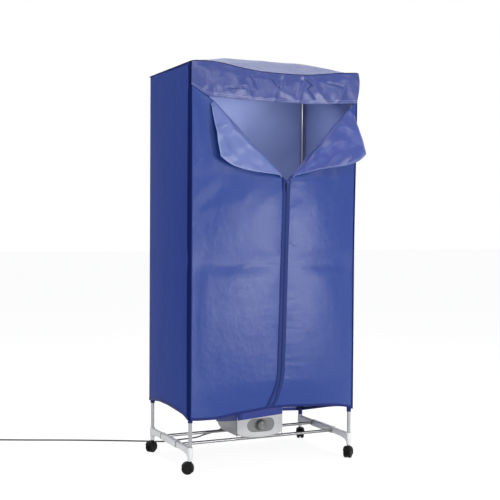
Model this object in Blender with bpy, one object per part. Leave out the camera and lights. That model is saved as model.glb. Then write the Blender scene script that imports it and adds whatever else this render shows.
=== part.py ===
"""Portable clothes dryer: a wheeled tube frame under a zipped fabric cover, with a fan heater in its base.

Metres, +Z up, +X to the right of the front, +Y to the back. The origin is on the floor under the middle
of the dryer without its cord. The dryer is modelled round the middle of its frame and shifted at the end.
Every size that can be set by itself is a named value below, and the rest follows from it.
"""

import math

import bmesh
import bpy
from mathutils import Matrix, Vector

# Fits and facets
FIT_GAP = 0.0003
OVERRUN = 0.010
TUBE_SIDES = 16
SOCKET_SIDES = 16
WHEEL_SIDES = 20
CORNER_STEPS = 4
TOP_COLUMNS = 18
SHARP_ANGLE = math.radians(35)

# Tube frame
FRAME_WIDTH = 0.672
FRAME_DEPTH = 0.402
POLE_DIAMETER = 0.014
BAR_DIAMETER = 0.012
TUBE_WALL = 0.0008
POLE_JOINT_HEIGHT = 0.768
SPIGOT_LENGTH = 0.040

# Corner brackets and side beams of the base
SOCKET_HEIGHT = 0.0495
SOCKET_TOP_WALL = 0.0035
SOCKET_FOOT_WALL = 0.0035
POLE_SEAT_DEPTH = 0.024
BEAM_HEIGHT = 0.0225
BEAM_WIDTH = 0.018
BEAM_ROUNDING = 0.006
BEAM_DROP = 0.0006
ARM_END = 0.0735
GUSSET_REACH = 0.062
GUSSET_DROP = 0.020
GUSSET_RING_SHARES = (0.0, 0.12, 0.26, 0.45, 0.7, 1.0)
CROSSBAR_SPACING = 0.166
CROSSBAR_SEAT = 0.010
MIDDLE_BEAM_GROWTH = 0.0015

# Casters
WHEEL_DIAMETER = 0.044
WHEEL_WIDTH = 0.0085
WHEEL_GAP = 0.0148
WHEEL_EDGE = 0.0016
HUB_RADIUS = 0.009
AXLE_RADIUS = 0.003
CASTER_HEIGHT = 0.048
TRAIL = 0.009
FENDER_CLEARANCE = 0.0010
FENDER_WALL = 0.0014
WEB_RADIUS = 0.0160
STEM_RADIUS = 0.004
STEM_LENGTH = 0.0175
NECK_RADIUS = 0.0066
NECK_HEIGHT = 0.011
FENDER_ARC = (math.radians(28), math.radians(206))
WEB_INSET = math.radians(5)
TRAIL_ANGLES = {
    "fl": math.radians(155),
    "fr": math.radians(225),
    "bl": math.radians(217),
    "br": math.radians(245),
}

# Cover
COVER_HEIGHT = 1.500
CLOTH = 0.0015
COVER_SIDE_CLEARANCE = 0.0035
COVER_FRONT_CLEARANCE = 0.006
HEM_HEIGHT = 0.193
FRONT_HEM_RISE = 0.0315
LEFT_HEM_RISE = 0.032
REAR_HEM_CLEARANCE = 0.017
SIDE_BULGE = 0.013
BACK_BULGE = 0.014
FRONT_BULGE = 0.012
PILLOW_FOOT_SHARE = 0.06
PILLOW_POWER = 0.8
CREASE_PINCH = 0.006
CREASE_HALF_WIDTH = 0.045
TOP_FLARE = 0.009
TOP_DOME = 0.050
FRONT_EDGE_SAG = 0.024

# Door leaves, zip and turned-out corners
ZIP_TOP_HEIGHT = 1.077
ZIP_STRAIGHT_FOOT = 0.330
ZIP_TOP_OFFSET = 0.025
ZIP_FOOT_OFFSET = 0.013
ZIP_HEM_SHIFT = 0.030
ZIP_BAND = 0.025
ZIP_SPLIT_RISE = 0.080
ZIP_SPLIT_WIDTH = 0.007
ZIP_ROW_HEIGHT = 0.0015
ZIP_ROW_WIDTH = 0.006
ZIP_TOP_BULGE = 0.040
ZIP_FOOT_BULGE = 0.022
ZIP_HEM_BULGE = 0.006
LEAF_TOP_BULGE = 0.001
EDGE_BULGE_POWER = 1.5
LEFT_LEAF_TOP = 1.430
RIGHT_LEAF_TOP = 1.390
LEFT_FOLD_RUN = 0.353
RIGHT_FOLD_RUN = 0.313
FOLD_SETBACK = 0.0015
LAPEL_HEADER_GAP = 0.008
LAPEL_START = 0.026
LEFT_LAPEL_REACH = 0.134
RIGHT_LAPEL_REACH = 0.163
LAPEL_ROLL = 0.024
LAPEL_ROOT = 0.0022
LAPEL_ROW_POWER = 1.5
LAPEL_LIFT = 0.0008
RIGHT_LAPEL_FLARE = 0.042

# Header band over the mouth
HEADER_HEM_HEIGHT = 1.371
HEADER_STANDOFF = 0.0022
HEADER_BULGE = 0.016
HEADER_HEM_BULGE = 0.020
HEADER_FOLD = 0.0035
HEADER_FOLDS = 9
HEADER_HEM_LIFT = 0.044
HEADER_END_DRAW = 0.014

# Zip slider and pull
SLIDER_WIDTH = 0.012
SLIDER_LENGTH = 0.014
SLIDER_DEPTH = 0.005
SLIDER_CHANNEL_SIDE = 0.0006
EAR_THICKNESS = 0.0016
EAR_HEIGHT = 0.0045
EAR_LENGTH = 0.005
PIN_RADIUS = 0.0009
PULL_LENGTH = 0.030
PULL_WIDTH = 0.0064
PULL_THICKNESS = 0.0016

# Top frame
TOP_CLEARANCE = 0.004
CONNECTOR_WALL = 0.0025
CONNECTOR_DEPTH = 0.030
RAIL_SEAT = 0.016
HANGING_RAIL_SPACING = 0.150

# Heater
CASE_WIDTH = 0.195
CASE_FRONT = 0.090
CASE_REAR = 0.120
CASE_FOOT_REAR = 0.085
CASE_HEIGHT = 0.112
CASE_TAPER_HEIGHT = 0.0195
CASE_WALL = 0.0025
CASE_SEAM_HEIGHT = 0.014
CASE_FRONT_RADIUS = 0.012
CASE_REAR_RADIUS = 0.032
SADDLE_RISE = 0.0065
SADDLE_SPACING = 0.120
SADDLE_LENGTH = 0.018
SADDLE_WIDTH = 0.016
INTAKE_SLOT_WIDTH = 0.006
INTAKE_SLOT_LENGTH = 0.060
INTAKE_SLOTS = 4
OUTLET_WIDTH = 0.140
OUTLET_DEPTH = 0.130
GRILLE_MARGIN = 0.007
GRILLE_THICKNESS = 0.002
GRILLE_SLOTS = 9
FAN_PLACE = 0.014

FASCIA_THICKNESS = 0.0040
FASCIA_BOW = 0.0095
FASCIA_FOOT_DROP = 0.010
FASCIA_END_RISE = 0.013
FASCIA_TOP_MARGIN = 0.006
FASCIA_EDGE = 0.0025
FASCIA_STRAIGHT_SHARE = 0.86
PILL_LENGTH = 0.118
PILL_HEIGHT = 0.053
PILL_THICKNESS = 0.0018
PILL_SEAT = 0.0022
DIAL_HEIGHT = 0.0385

KNOB_RADIUS = 0.0222
KNOB_DEPTH = 0.0185
KNOB_EDGE = 0.003
KNOB_BORE_DEPTH = 0.011
POINTER_LENGTH = 0.012
POINTER_WIDTH = 0.0018
POINTER_HEIGHT = 0.0006
SHAFT_RADIUS = 0.003
TIMER_WIDTH = 0.036
TIMER_DEPTH = 0.026
TIMER_HEIGHT = 0.030

MOTOR_RADIUS = 0.016
MOTOR_HEIGHT = 0.018
MOTOR_SHAFT_RADIUS = 0.002
MOTOR_SHAFT_LENGTH = 0.016
FAN_RADIUS = 0.050
FAN_HUB_RADIUS = 0.016
FAN_HUB_HEIGHT = 0.014
FAN_BLADES = 5
FAN_CHORD = 0.020
FAN_BLADE_THICKNESS = 0.0016
BLADE_ROOT_DEPTH = 0.0015
FAN_PITCH = math.radians(32)
ELEMENT_DEPTH = 0.110
ELEMENT_HEIGHT = 0.016
ELEMENT_RISE = 0.064
ELEMENT_SLOTS = 6
ELEMENT_RIM = 0.008

# Floor panel of the cover and its cuff round the heater
CUFF_CLEARANCE = 0.0010
CUFF_FRONT_DROP = 0.0585
CUFF_REAR_DROP = 0.1025
CUFF_SLANT = 0.007
CORD_NOTCH_WIDTH = 0.022
CORD_NOTCH_MARGIN = 0.003
FLOOR_RISE = 0.0160

# Cord
CORD_DIAMETER = 0.006
CORD_PLACE = -0.015
CORD_HEIGHT = 0.0275
RELIEF_LENGTH = 0.030
RELIEF_ROOT_RADIUS = 0.0060
RELIEF_TIP_RADIUS = 0.0042
COIL_RADIUS = 0.036
COIL_TURNS_A_LAYER = 1.4
COIL_CLIMB_TURNS = 0.5
COIL_DIP_SHARE = 0.35
LOOP_POINTS = 24
CORD_SPACING = 0.0009
PLUG_LENGTH = 0.036
PLUG_RADIUS = 0.0125
PLUG_FLATNESS_SHARE = 0.68
PLUG_NECK_LENGTH = 0.016
PLUG_PIN_RADIUS = 0.002
PLUG_PIN_LENGTH = 0.019
PLUG_PIN_SPACING = 0.019

# Shares, chosen by hand
FRONT_HEM_SHARES = (
    (-1.0, 0.22), (-0.86, 0.13), (-0.70, 0.13), (-0.51, 0.45), (-0.30, 0.72), (-0.10, 0.92), (0.05, 1.0),
    (0.33, 0.89), (0.50, 0.79), (0.69, 0.66), (0.83, 0.49), (0.91, 0.30), (1.0, 0.0),
)
LEFT_HEM_SHARES = (
    (-1.0, 0.22), (-0.93, 0.28), (-0.80, 0.56), (-0.69, 0.68), (-0.40, 0.86), (0.0, 1.0), (0.25, 0.99),
    (0.45, 0.93), (0.70, 0.72), (1.0, 0.44),
)
RIGHT_HEM_SHARES = ((-1.0, 0.0), (-0.85, 0.0), (-0.53, 0.09), (-0.15, 0.28), (0.24, 0.52), (0.65, 0.78), (1.0, 1.0))
BACK_HEM_SHARES = ((-1.0, 0.0), (-0.4, 0.42), (0.2, 0.76), (0.7, 0.94), (1.0, 1.0))
FRONT_SAG_SHARES = (
    (-1.0, 0.0), (-0.94, -0.20), (-0.79, -0.26), (-0.64, -0.11), (-0.49, 0.25), (-0.34, 0.61), (-0.19, 0.87),
    (0.0, 0.94), (0.12, 0.94), (0.33, 0.88), (0.56, 0.60), (0.78, 0.23), (1.0, 0.0),
)
LEFT_LAPEL_SHARES = (
    (0.0, 0.02), (0.05, 0.11), (0.15, 0.35), (0.25, 0.58), (0.37, 0.81), (0.46, 0.93), (0.53, 0.98),
    (0.585, 1.0), (0.62, 0.93), (0.72, 0.73), (0.83, 0.50), (1.0, 0.13),
)
RIGHT_LAPEL_SHARES = (
    (0.0, 0.02), (0.22, 0.32), (0.485, 0.77), (0.65, 0.96), (0.74, 1.0), (0.80, 0.88), (0.90, 0.55), (1.0, 0.22),
)
LAPEL_LIFT_SHARES = ((0.0, 0.0), (0.06, 0.45), (0.20, 0.85), (0.45, 1.0), (1.0, 1.0))
LAPEL_END_SHARES = ((0.0, 0.25), (0.2, 0.8), (0.5, 1.0), (0.8, 0.85), (1.0, 0.2))
HEADER_COLUMN_SHARES = ((-1.0, 0.05), (-0.8, 0.7), (-0.2, 1.0), (0.6, 1.0), (1.0, 0.75))
HEADER_ROW_SHARES = ((0.0, 0.0), (0.3, 0.85), (0.6, 1.0), (1.0, 0.75))
HEADER_HEM_SHARES = ((-1.0, 1.0), (-0.78, 0.12), (-0.2, 0.0), (0.3, 0.0), (1.0, 0.35))

# The cord from the tip of its strain relief, over the floor to its coil
CORD_ROUTE = (
    (-0.0150, 0.1730, 0.1242),
    (-0.0160, 0.1860, 0.1130),
    (-0.0190, 0.1960, 0.0940),
    (-0.0260, 0.2080, 0.0720),
    (-0.0400, 0.2240, 0.0560),
    (-0.0600, 0.2480, 0.0445),
    (-0.0780, 0.2760, 0.0330),
    (-0.0920, 0.3100, 0.0180),
    (-0.1130, 0.3380, 0.0085),
    (-0.1420, 0.3520, 0.0042),
    (-0.1680, 0.3530, 0.0034),
    (-0.2290, 0.3440, 0.0034),
    (-0.3060, 0.3840, 0.0034),
    (-0.4280, 0.4500, 0.0034),
    (-0.5180, 0.4960, 0.0034),
    (-0.6130, 0.5420, 0.0034),
    (-0.7350, 0.5970, 0.0034),
    (-0.8600, 0.6560, 0.0034),
    (-0.9060, 0.6800, 0.0034),
)
CORD_POINT_SPACING = 0.018
CORD_NODES = ("cord_lead", "cord_coil", "mains_plug")

# Derived places
pole_radius = POLE_DIAMETER / 2
bar_radius = BAR_DIAMETER / 2
half_width = FRAME_WIDTH / 2
half_depth = FRAME_DEPTH / 2
socket_top = CASTER_HEIGHT + SOCKET_HEIGHT
pole_foot = socket_top - POLE_SEAT_DEPTH + FIT_GAP
beam_top = socket_top - BEAM_DROP
beam_foot = beam_top - BEAM_HEIGHT
bar_height = beam_top - BEAM_HEIGHT / 2
bar_place = CROSSBAR_SPACING / 2
inner_x = half_width + pole_radius + COVER_SIDE_CLEARANCE
outer_x = inner_x + CLOTH
inner_y = half_depth + pole_radius + COVER_FRONT_CLEARANCE
outer_y = inner_y + CLOTH
connector_radius = pole_radius + CONNECTOR_WALL
connector_top = COVER_HEIGHT - CLOTH - TOP_CLEARANCE
rail_height = connector_top - CONNECTOR_WALL - bar_radius
pole_top = rail_height - bar_radius - CONNECTOR_WALL
case_foot = bar_height + bar_radius + SADDLE_RISE
case_top = case_foot + CASE_HEIGHT
case_seam = case_foot + CASE_SEAM_HEIGHT
dial_height = case_foot + DIAL_HEIGHT
fascia_back = -(CASE_FRONT + FIT_GAP)
fascia_front = fascia_back - FASCIA_THICKNESS
pill_floor = fascia_front + FIT_GAP - PILL_SEAT
pill_front = pill_floor - FIT_GAP - PILL_THICKNESS
floor_height = case_top + FLOOR_RISE
rear_hem_height = socket_top + REAR_HEM_CLEARANCE
CORNERS = {"fl": (-1, -1), "fr": (1, -1), "bl": (-1, 1), "br": (1, 1)}


def finish(name, colour, roughness, metallic=0.0):
    """A Principled material with the finish's colour, roughness and metallic value."""
    material = bpy.data.materials.new(name)
    material.use_nodes = True
    shader = material.node_tree.nodes["Principled BSDF"]
    shader.inputs["Base Color"].default_value = (*colour, 1.0)
    shader.inputs["Roughness"].default_value = roughness
    shader.inputs["Metallic"].default_value = metallic
    return material


def through(shares, place):
    """The value at a place on a smooth curve through hand-chosen (place, share) pairs, with no overshoot."""
    if place <= shares[0][0]:
        return shares[0][1]
    if place >= shares[-1][0]:
        return shares[-1][1]
    slopes = [(high - low) / (end - start) for (start, low), (end, high) in zip(shares, shares[1:])]
    tangents = [slopes[0]]
    for before, after in zip(slopes, slopes[1:]):
        if before * after <= 0:
            tangents.append(0.0)
        else:
            tangents.append(2 * before * after / (before + after))
    tangents.append(slopes[-1])
    index = max(number for number, (start, low) in enumerate(shares[:-1]) if start <= place)
    (start, low), (end, high) = shares[index], shares[index + 1]
    span = end - start
    part = (place - start) / span
    rest = 1 - part
    return (
        low * rest * rest * (1 + 2 * part)
        + high * part * part * (1 + 2 * rest)
        + tangents[index] * span * part * rest * rest
        - tangents[index + 1] * span * part * part * rest
    )


def mix(low, high, share):
    """The value a share of the way from low to high."""
    return low + (high - low) * share


def ease(share):
    """0 to 1 with no slope at either end."""
    share = min(max(share, 0.0), 1.0)
    return share * share * (3 - 2 * share)


def steps(count):
    """Even shares from 0 to 1."""
    return [index / count for index in range(count + 1)]


def node(name, shape, material, parent=None, location=(0, 0, 0), turn=(0, 0, 0)):
    """One named object that holds the shape as its mesh."""
    mesh = bpy.data.meshes.new(name)
    bmesh.ops.triangulate(shape, faces=[face for face in shape.faces if len(face.verts) > 4])
    shape.to_mesh(mesh)
    shape.free()
    mesh.shade_smooth()
    mesh.set_sharp_from_angle(angle=SHARP_ANGLE)
    mesh.materials.append(material)
    return placed(name, mesh, parent, location, turn)


def placed(name, data, parent=None, location=(0, 0, 0), turn=(0, 0, 0)):
    """An object of this data, or an empty where the data is None."""
    made = bpy.data.objects.new(name, data)
    bpy.context.scene.collection.objects.link(made)
    made.parent = parent
    made.location = location
    made.rotation_euler = turn
    return made


def combined(base, tools):
    """The base shape with (operation, shape) tools applied in turn, as one new shape."""
    made = [node("boolean_base", base, None)]
    for operation, shape in tools:
        tool = node("boolean_tool", shape, None)
        modifier = made[0].modifiers.new(operation, "BOOLEAN")
        modifier.operation = operation
        modifier.object = tool
        made.append(tool)
    bpy.context.view_layer.update()
    graph = bpy.context.evaluated_depsgraph_get()
    mesh = bpy.data.meshes.new_from_object(made[0].evaluated_get(graph))
    result = bmesh.new()
    result.from_mesh(mesh)
    bpy.data.meshes.remove(mesh)
    for tool in made:
        bpy.data.meshes.remove(tool.data)
    return result


def moved(shape, matrix):
    """The shape, carried by the matrix."""
    bmesh.ops.transform(shape, matrix=matrix, verts=shape.verts)
    if matrix.determinant() < 0:
        bmesh.ops.reverse_faces(shape, faces=shape.faces)
    return shape


def turned(outline, sides):
    """A turned shape about Z. Its (radius, height) outline is open where it starts and ends on the axis."""
    shape = bmesh.new()
    points = [shape.verts.new((radius, 0, height)) for radius, height in outline]
    pairs = list(zip(points, points[1:]))
    if outline[0][0] > 0:
        pairs.append((points[-1], points[0]))
    edges = [shape.edges.new(pair) for pair in pairs]
    bmesh.ops.spin(
        shape,
        geom=points + edges,
        cent=(0, 0, 0),
        axis=(0, 0, 1),
        angle=math.tau,
        steps=sides,
        use_merge=True,
    )
    bmesh.ops.remove_doubles(shape, verts=shape.verts, dist=FIT_GAP / 10)
    bmesh.ops.recalc_face_normals(shape, faces=shape.faces)
    return shape


def extruded(outline, low, high, axes="XY"):
    """A flat outline in the plane of two axes, extruded along the third from low to high."""
    first, second = "XYZ".index(axes[0]), "XYZ".index(axes[1])
    third = 3 - first - second
    shape = bmesh.new()
    corners = []
    for across, along in outline:
        place = [0.0, 0.0, 0.0]
        place[first], place[second], place[third] = across, along, low
        corners.append(shape.verts.new(place))
    face = shape.faces.new(corners)
    made = bmesh.ops.extrude_face_region(shape, geom=[face])["geom"]
    shift = Vector((0, 0, 0))
    shift[third] = high - low
    bmesh.ops.translate(shape, vec=shift, verts=[g for g in made if isinstance(g, bmesh.types.BMVert)])
    bmesh.ops.recalc_face_normals(shape, faces=shape.faces)
    return shape


def block(low, high):
    """A box between two corners."""
    plan = ((low[0], low[1]), (high[0], low[1]), (high[0], high[1]), (low[0], high[1]))
    return extruded(plan, low[2], high[2])


def rod(radius, start, end, sides=TUBE_SIDES):
    """A round bar between two points."""
    start, end = Vector(start), Vector(end)
    length = (end - start).length
    shape = turned(((0, 0), (radius, 0), (radius, length), (0, length)), sides)
    turn = (end - start).to_track_quat("Z", "Y").to_matrix().to_4x4()
    return moved(shape, Matrix.Translation(start) @ turn)


def lofted(rings):
    """A closed shape through rings of points, all with the same count."""
    shape = bmesh.new()
    ring = [shape.verts.new(point) for point in rings[0]]
    edges = list(shape.faces.new(ring).edges)
    for points in rings[1:]:
        order = {tuple(vertex.co): index for index, vertex in enumerate(ring)}
        made = bmesh.ops.extrude_edge_only(shape, edges=edges)["geom"]
        ring = sorted(
            (g for g in made if isinstance(g, bmesh.types.BMVert)),
            key=lambda vertex: order[tuple(vertex.co)],
        )
        edges = [g for g in made if isinstance(g, bmesh.types.BMEdge)]
        for vertex, point in zip(ring, points):
            vertex.co = point
    shape.faces.new(ring)
    bmesh.ops.recalc_face_normals(shape, faces=shape.faces)
    return shape


def rounded_outline(left, right, front, rear, front_radius, rear_radius):
    """A rectangle with round corners, as points anticlockwise from its front right corner."""
    corners = (
        (right - front_radius, front + front_radius, front_radius, -90),
        (right - rear_radius, rear - rear_radius, rear_radius, 0),
        (left + rear_radius, rear - rear_radius, rear_radius, 90),
        (left + front_radius, front + front_radius, front_radius, 180),
    )
    points = []
    for x, y, radius, start in corners:
        for share in steps(CORNER_STEPS - 1):
            angle = math.radians(start + 90 * share)
            points.append((x + radius * math.cos(angle), y + radius * math.sin(angle)))
    return points


def sheet(columns, rows, surface, thickness):
    """A cloth panel: a grid laid on surface(column, row), made solid along the thickness vector."""
    shape = bmesh.new()
    across, along = len(columns) - 1, len(rows) - 1
    bmesh.ops.create_grid(shape, x_segments=across, y_segments=along, size=0.5)
    for vertex in shape.verts:
        column = columns[round((vertex.co.x + 0.5) * across)]
        row = rows[round((vertex.co.y + 0.5) * along)]
        vertex.co = surface(column, row)
    made = bmesh.ops.extrude_face_region(shape, geom=shape.faces[:])["geom"]
    lifted = [g for g in made if isinstance(g, bmesh.types.BMVert)]
    bmesh.ops.translate(shape, vec=Vector(thickness), verts=lifted)
    bmesh.ops.recalc_face_normals(shape, faces=shape.faces)
    return shape


# Base


def bracket(side_x, side_y):
    """A corner bracket: pole socket, caster socket and an arm towards the middle with its gusset."""
    top_radius = pole_radius + FIT_GAP + SOCKET_TOP_WALL
    foot_radius = STEM_RADIUS + FIT_GAP + SOCKET_FOOT_WALL
    outline = (
        (0, CASTER_HEIGHT),
        (foot_radius, CASTER_HEIGHT),
        (top_radius, beam_foot),
        (top_radius, socket_top),
        (0, socket_top),
    )
    socket = turned(outline, SOCKET_SIDES)
    rings = []
    reach = half_depth - ARM_END
    for share in GUSSET_RING_SHARES:
        foot = beam_foot - GUSSET_DROP * (1 - math.sqrt(1 - (1 - share) ** 2))
        rings.append(beam_section(share * GUSSET_REACH, foot, beam_top, BEAM_WIDTH))
    rings.append(beam_section(reach, beam_foot, beam_top, BEAM_WIDTH))
    arm = lofted(rings)
    inward = 1 if side_x < 0 else -1
    bar_y = half_depth - bar_place
    pole_seat = socket_top - POLE_SEAT_DEPTH
    stem_seat = CASTER_HEIGHT + STEM_LENGTH + FIT_GAP
    bar_seat = inward * (BEAM_WIDTH / 2 - CROSSBAR_SEAT)
    bar_end = inward * (BEAM_WIDTH / 2 + OVERRUN)
    pole_bore = rod(pole_radius + FIT_GAP, (0, 0, pole_seat), (0, 0, socket_top + OVERRUN), SOCKET_SIDES)
    stem_bore = rod(STEM_RADIUS + FIT_GAP, (0, 0, CASTER_HEIGHT - OVERRUN), (0, 0, stem_seat), SOCKET_SIDES)
    bar_bore = rod(bar_radius + FIT_GAP, (bar_seat, bar_y, bar_height), (bar_end, bar_y, bar_height))
    cuts = [("DIFFERENCE", pole_bore), ("DIFFERENCE", stem_bore), ("DIFFERENCE", bar_bore)]
    shape = combined(socket, [("UNION", arm)] + cuts)
    if side_y > 0:
        moved(shape, Matrix.Scale(-1, 4, (0, 1, 0)))
    return shape


def beam_section(along, foot, top, width):
    """A ring of the beam's rounded section at a place along Y."""
    outline = rounded_outline(-width / 2, width / 2, foot, top, BEAM_ROUNDING / 2, BEAM_ROUNDING)
    return [(across, along, height) for across, height in outline]


def build_base(plastic, steel):
    """Corner brackets, side beams and crossbars."""
    for corner, (side_x, side_y) in CORNERS.items():
        place = (side_x * half_width, side_y * half_depth, 0)
        node(f"corner_bracket_{corner}", bracket(side_x, side_y), plastic, location=place)
    growth = MIDDLE_BEAM_GROWTH
    reach = ARM_END - FIT_GAP
    for name, side in (("left", -1), ("right", 1)):
        rings = [
            beam_section(along, beam_foot - growth, beam_top + growth, BEAM_WIDTH + 2 * growth)
            for along in (-reach, reach)
        ]
        node(f"side_beam_{name}", lofted(rings), plastic, location=(side * half_width, 0, 0))
    end = half_width - BEAM_WIDTH / 2 + CROSSBAR_SEAT - FIT_GAP
    for name, side in (("front", -1), ("rear", 1)):
        shape = moved(tube(bar_radius, -end, end), Matrix.Rotation(math.pi / 2, 4, "Y"))
        node(f"crossbar_{name}", shape, steel, location=(0, side * bar_place, bar_height))


def tube(radius, low, high):
    """An open tube along Z with the frame's wall."""
    bore = radius - TUBE_WALL
    return turned(((radius, low), (radius, high), (bore, high), (bore, low)), TUBE_SIDES)


# Casters


def caster_hood():
    """Hood, web, neck and stem. The swivel axis is the origin and the wheels trail along +X."""
    centre = (TRAIL, WHEEL_DIAMETER / 2)
    inner = WHEEL_DIAMETER / 2 + FENDER_CLEARANCE
    outer = inner + FENDER_WALL
    start, end = FENDER_ARC
    fender_angles = [mix(start, end, share) for share in steps(12)]
    foot_angles = [mix(end, start + math.tau, share) for share in steps(10)]

    def arc(radius, angles):
        return [(centre[0] + radius * math.cos(a), centre[1] + radius * math.sin(a)) for a in angles]

    half_gap = WHEEL_GAP / 2 - FIT_GAP
    rim = (inner + outer) / 2
    inside = [mix(start + WEB_INSET, end - WEB_INSET, share) for share in steps(12)]
    web = extruded(arc(rim, inside) + arc(WEB_RADIUS, foot_angles), -half_gap, half_gap, "XZ")
    half_span = WHEEL_GAP / 2 + WHEEL_WIDTH
    band = arc(outer, fender_angles) + list(reversed(arc(inner, fender_angles)))
    fender = extruded(band, -half_span, half_span, "XZ")
    neck_top = CASTER_HEIGHT - FIT_GAP
    stem_top = CASTER_HEIGHT + STEM_LENGTH - FIT_GAP
    outline = (
        (0, neck_top - NECK_HEIGHT),
        (NECK_RADIUS, neck_top - NECK_HEIGHT),
        (NECK_RADIUS, neck_top),
        (STEM_RADIUS, neck_top),
        (STEM_RADIUS, stem_top),
        (0, stem_top),
    )
    neck = turned(outline, TUBE_SIDES)
    bore = rod(AXLE_RADIUS + FIT_GAP, (TRAIL, -half_span, centre[1]), (TRAIL, half_span, centre[1]))
    return combined(web, [("UNION", fender), ("UNION", neck), ("DIFFERENCE", bore)])


def caster_wheels():
    """Two wheels on their axle, about the Y axis."""
    radius = WHEEL_DIAMETER / 2
    near = WHEEL_GAP / 2
    far = near + WHEEL_WIDTH
    half = (
        (AXLE_RADIUS, near),
        (radius - WHEEL_EDGE, near),
        (radius, near + WHEEL_EDGE),
        (radius, far - WHEEL_EDGE),
        (radius - WHEEL_EDGE, far),
        (HUB_RADIUS, far - WHEEL_EDGE),
        (0, far - WHEEL_EDGE / 2),
    )
    outline = [(r, -a) for r, a in reversed(half)] + list(half)
    return moved(turned(outline, WHEEL_SIDES), Matrix.Rotation(math.pi / 2, 4, "X"))


def build_casters(black):
    """Four swivel casters, each a hood on the swivel axis and a pair of wheels on the axle."""
    hoods, wheels = None, None
    for corner, (side_x, side_y) in CORNERS.items():
        place = (side_x * half_width, side_y * half_depth, 0)
        swivel = placed(f"caster_swivel_{corner}", None, None, place, (0, 0, TRAIL_ANGLES[corner]))
        axle = placed(f"caster_axle_{corner}", None, swivel, (TRAIL, 0, WHEEL_DIAMETER / 2))
        if hoods is None:
            hoods = node(f"caster_hood_{corner}", caster_hood(), black, swivel).data
            wheels = node(f"caster_wheels_{corner}", caster_wheels(), black, axle).data
        else:
            placed(f"caster_hood_{corner}", hoods, swivel)
            placed(f"caster_wheels_{corner}", wheels, axle)


# Poles and top frame


def build_poles(steel):
    """Lower poles, and upper poles with a narrower spigot that sits in the lower ones."""
    spigot = pole_radius - TUBE_WALL - FIT_GAP
    bore = spigot - TUBE_WALL
    joint = POLE_JOINT_HEIGHT
    upper_outline = (
        (spigot, joint - SPIGOT_LENGTH),
        (spigot, joint + FIT_GAP),
        (pole_radius, joint + FIT_GAP),
        (pole_radius, pole_top),
        (bore, pole_top),
        (bore, joint - SPIGOT_LENGTH),
    )
    for corner, (side_x, side_y) in CORNERS.items():
        place = (side_x * half_width, side_y * half_depth, 0)
        node(f"pole_lower_{corner}", tube(pole_radius, pole_foot, joint), steel, location=place)
        node(f"pole_upper_{corner}", turned(upper_outline, TUBE_SIDES), steel, location=place)


def build_top_frame(plastic, steel):
    """Connectors on the poles, side rails between them and the rails that carry hangers."""
    for corner, (side_x, side_y) in CORNERS.items():
        inward = -side_y
        cap = turned(
            (
                (0, pole_top - CONNECTOR_DEPTH),
                (connector_radius, pole_top - CONNECTOR_DEPTH),
                (connector_radius, connector_top),
                (0, connector_top),
            ),
            TUBE_SIDES,
        )
        reach = connector_radius + RAIL_SEAT
        spout = rod(bar_radius + CONNECTOR_WALL, (0, 0, rail_height), (0, inward * reach, rail_height))
        mouth = pole_top - CONNECTOR_DEPTH - OVERRUN
        pole_bore = rod(pole_radius + FIT_GAP, (0, 0, mouth), (0, 0, pole_top + FIT_GAP))
        rail_bore = rod(
            bar_radius + FIT_GAP,
            (0, inward * connector_radius, rail_height),
            (0, inward * (reach + OVERRUN), rail_height),
        )
        shape = combined(cap, [("UNION", spout), ("DIFFERENCE", pole_bore), ("DIFFERENCE", rail_bore)])
        place = (side_x * half_width, side_y * half_depth, 0)
        node(f"top_connector_{corner}", shape, plastic, location=place)
    end = half_depth - connector_radius - FIT_GAP
    for name, side in (("left", -1), ("right", 1)):
        shape = moved(tube(bar_radius, -end, end), Matrix.Rotation(math.pi / 2, 4, "X"))
        node(f"top_side_rail_{name}", shape, steel, location=(side * half_width, 0, rail_height))
    for name, side in (("front", -1), ("rear", 1)):
        place = side * HANGING_RAIL_SPACING / 2
        rail = moved(tube(bar_radius, -half_width, half_width), Matrix.Rotation(math.pi / 2, 4, "Y"))
        saddles = [
            ("DIFFERENCE", rod(bar_radius + FIT_GAP, (x, -OVERRUN, 0), (x, OVERRUN, 0)))
            for x in (-half_width, half_width)
        ]
        trims = [
            ("DIFFERENCE", block((x, -OVERRUN, -OVERRUN), (x + OVERRUN, OVERRUN, OVERRUN)))
            for x in (-half_width - OVERRUN, half_width)
        ]
        node(f"hanging_rail_{name}", combined(rail, saddles + trims), steel, location=(0, place, rail_height))


# Heater


def case_ring(height, inset):
    """The case's plan at a height above its foot. It draws in behind towards the foot."""
    share = min(max(height / CASE_TAPER_HEIGHT, 0.0), 1.0)
    rear = mix(CASE_FOOT_REAR, CASE_REAR, math.sqrt(share))
    half = CASE_WIDTH / 2 - inset
    radii = (CASE_FRONT_RADIUS - inset, CASE_REAR_RADIUS - inset)
    outline = rounded_outline(-half, half, -CASE_FRONT + inset, rear - inset, *radii)
    return [(x, y, case_foot + height) for x, y in outline]


def case_shell(low, high, cavity_low, cavity_high):
    """A stretch of the case with its cavity cut out."""
    bends = [level for level in (CASE_TAPER_HEIGHT / 2, CASE_TAPER_HEIGHT) if low < level < high]
    levels = sorted([low, high, *bends])
    within = [level for level in levels if cavity_low < level < cavity_high]
    inner_levels = sorted([cavity_low, cavity_high, *within])
    shell = lofted([case_ring(level, 0) for level in levels])
    cavity = lofted([case_ring(level, CASE_WALL) for level in inner_levels])
    return shell, cavity


def slots(count, span, width, length, low, high):
    """Long slots side by side along X, as cutters."""
    cutters = []
    front, rear = FAN_PLACE - length / 2, FAN_PLACE + length / 2
    for index in range(count):
        x = span * ((index + 0.5) / count - 0.5)
        cutters.append(("DIFFERENCE", block((x - width / 2, front, low), (x + width / 2, rear, high))))
    return cutters


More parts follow.
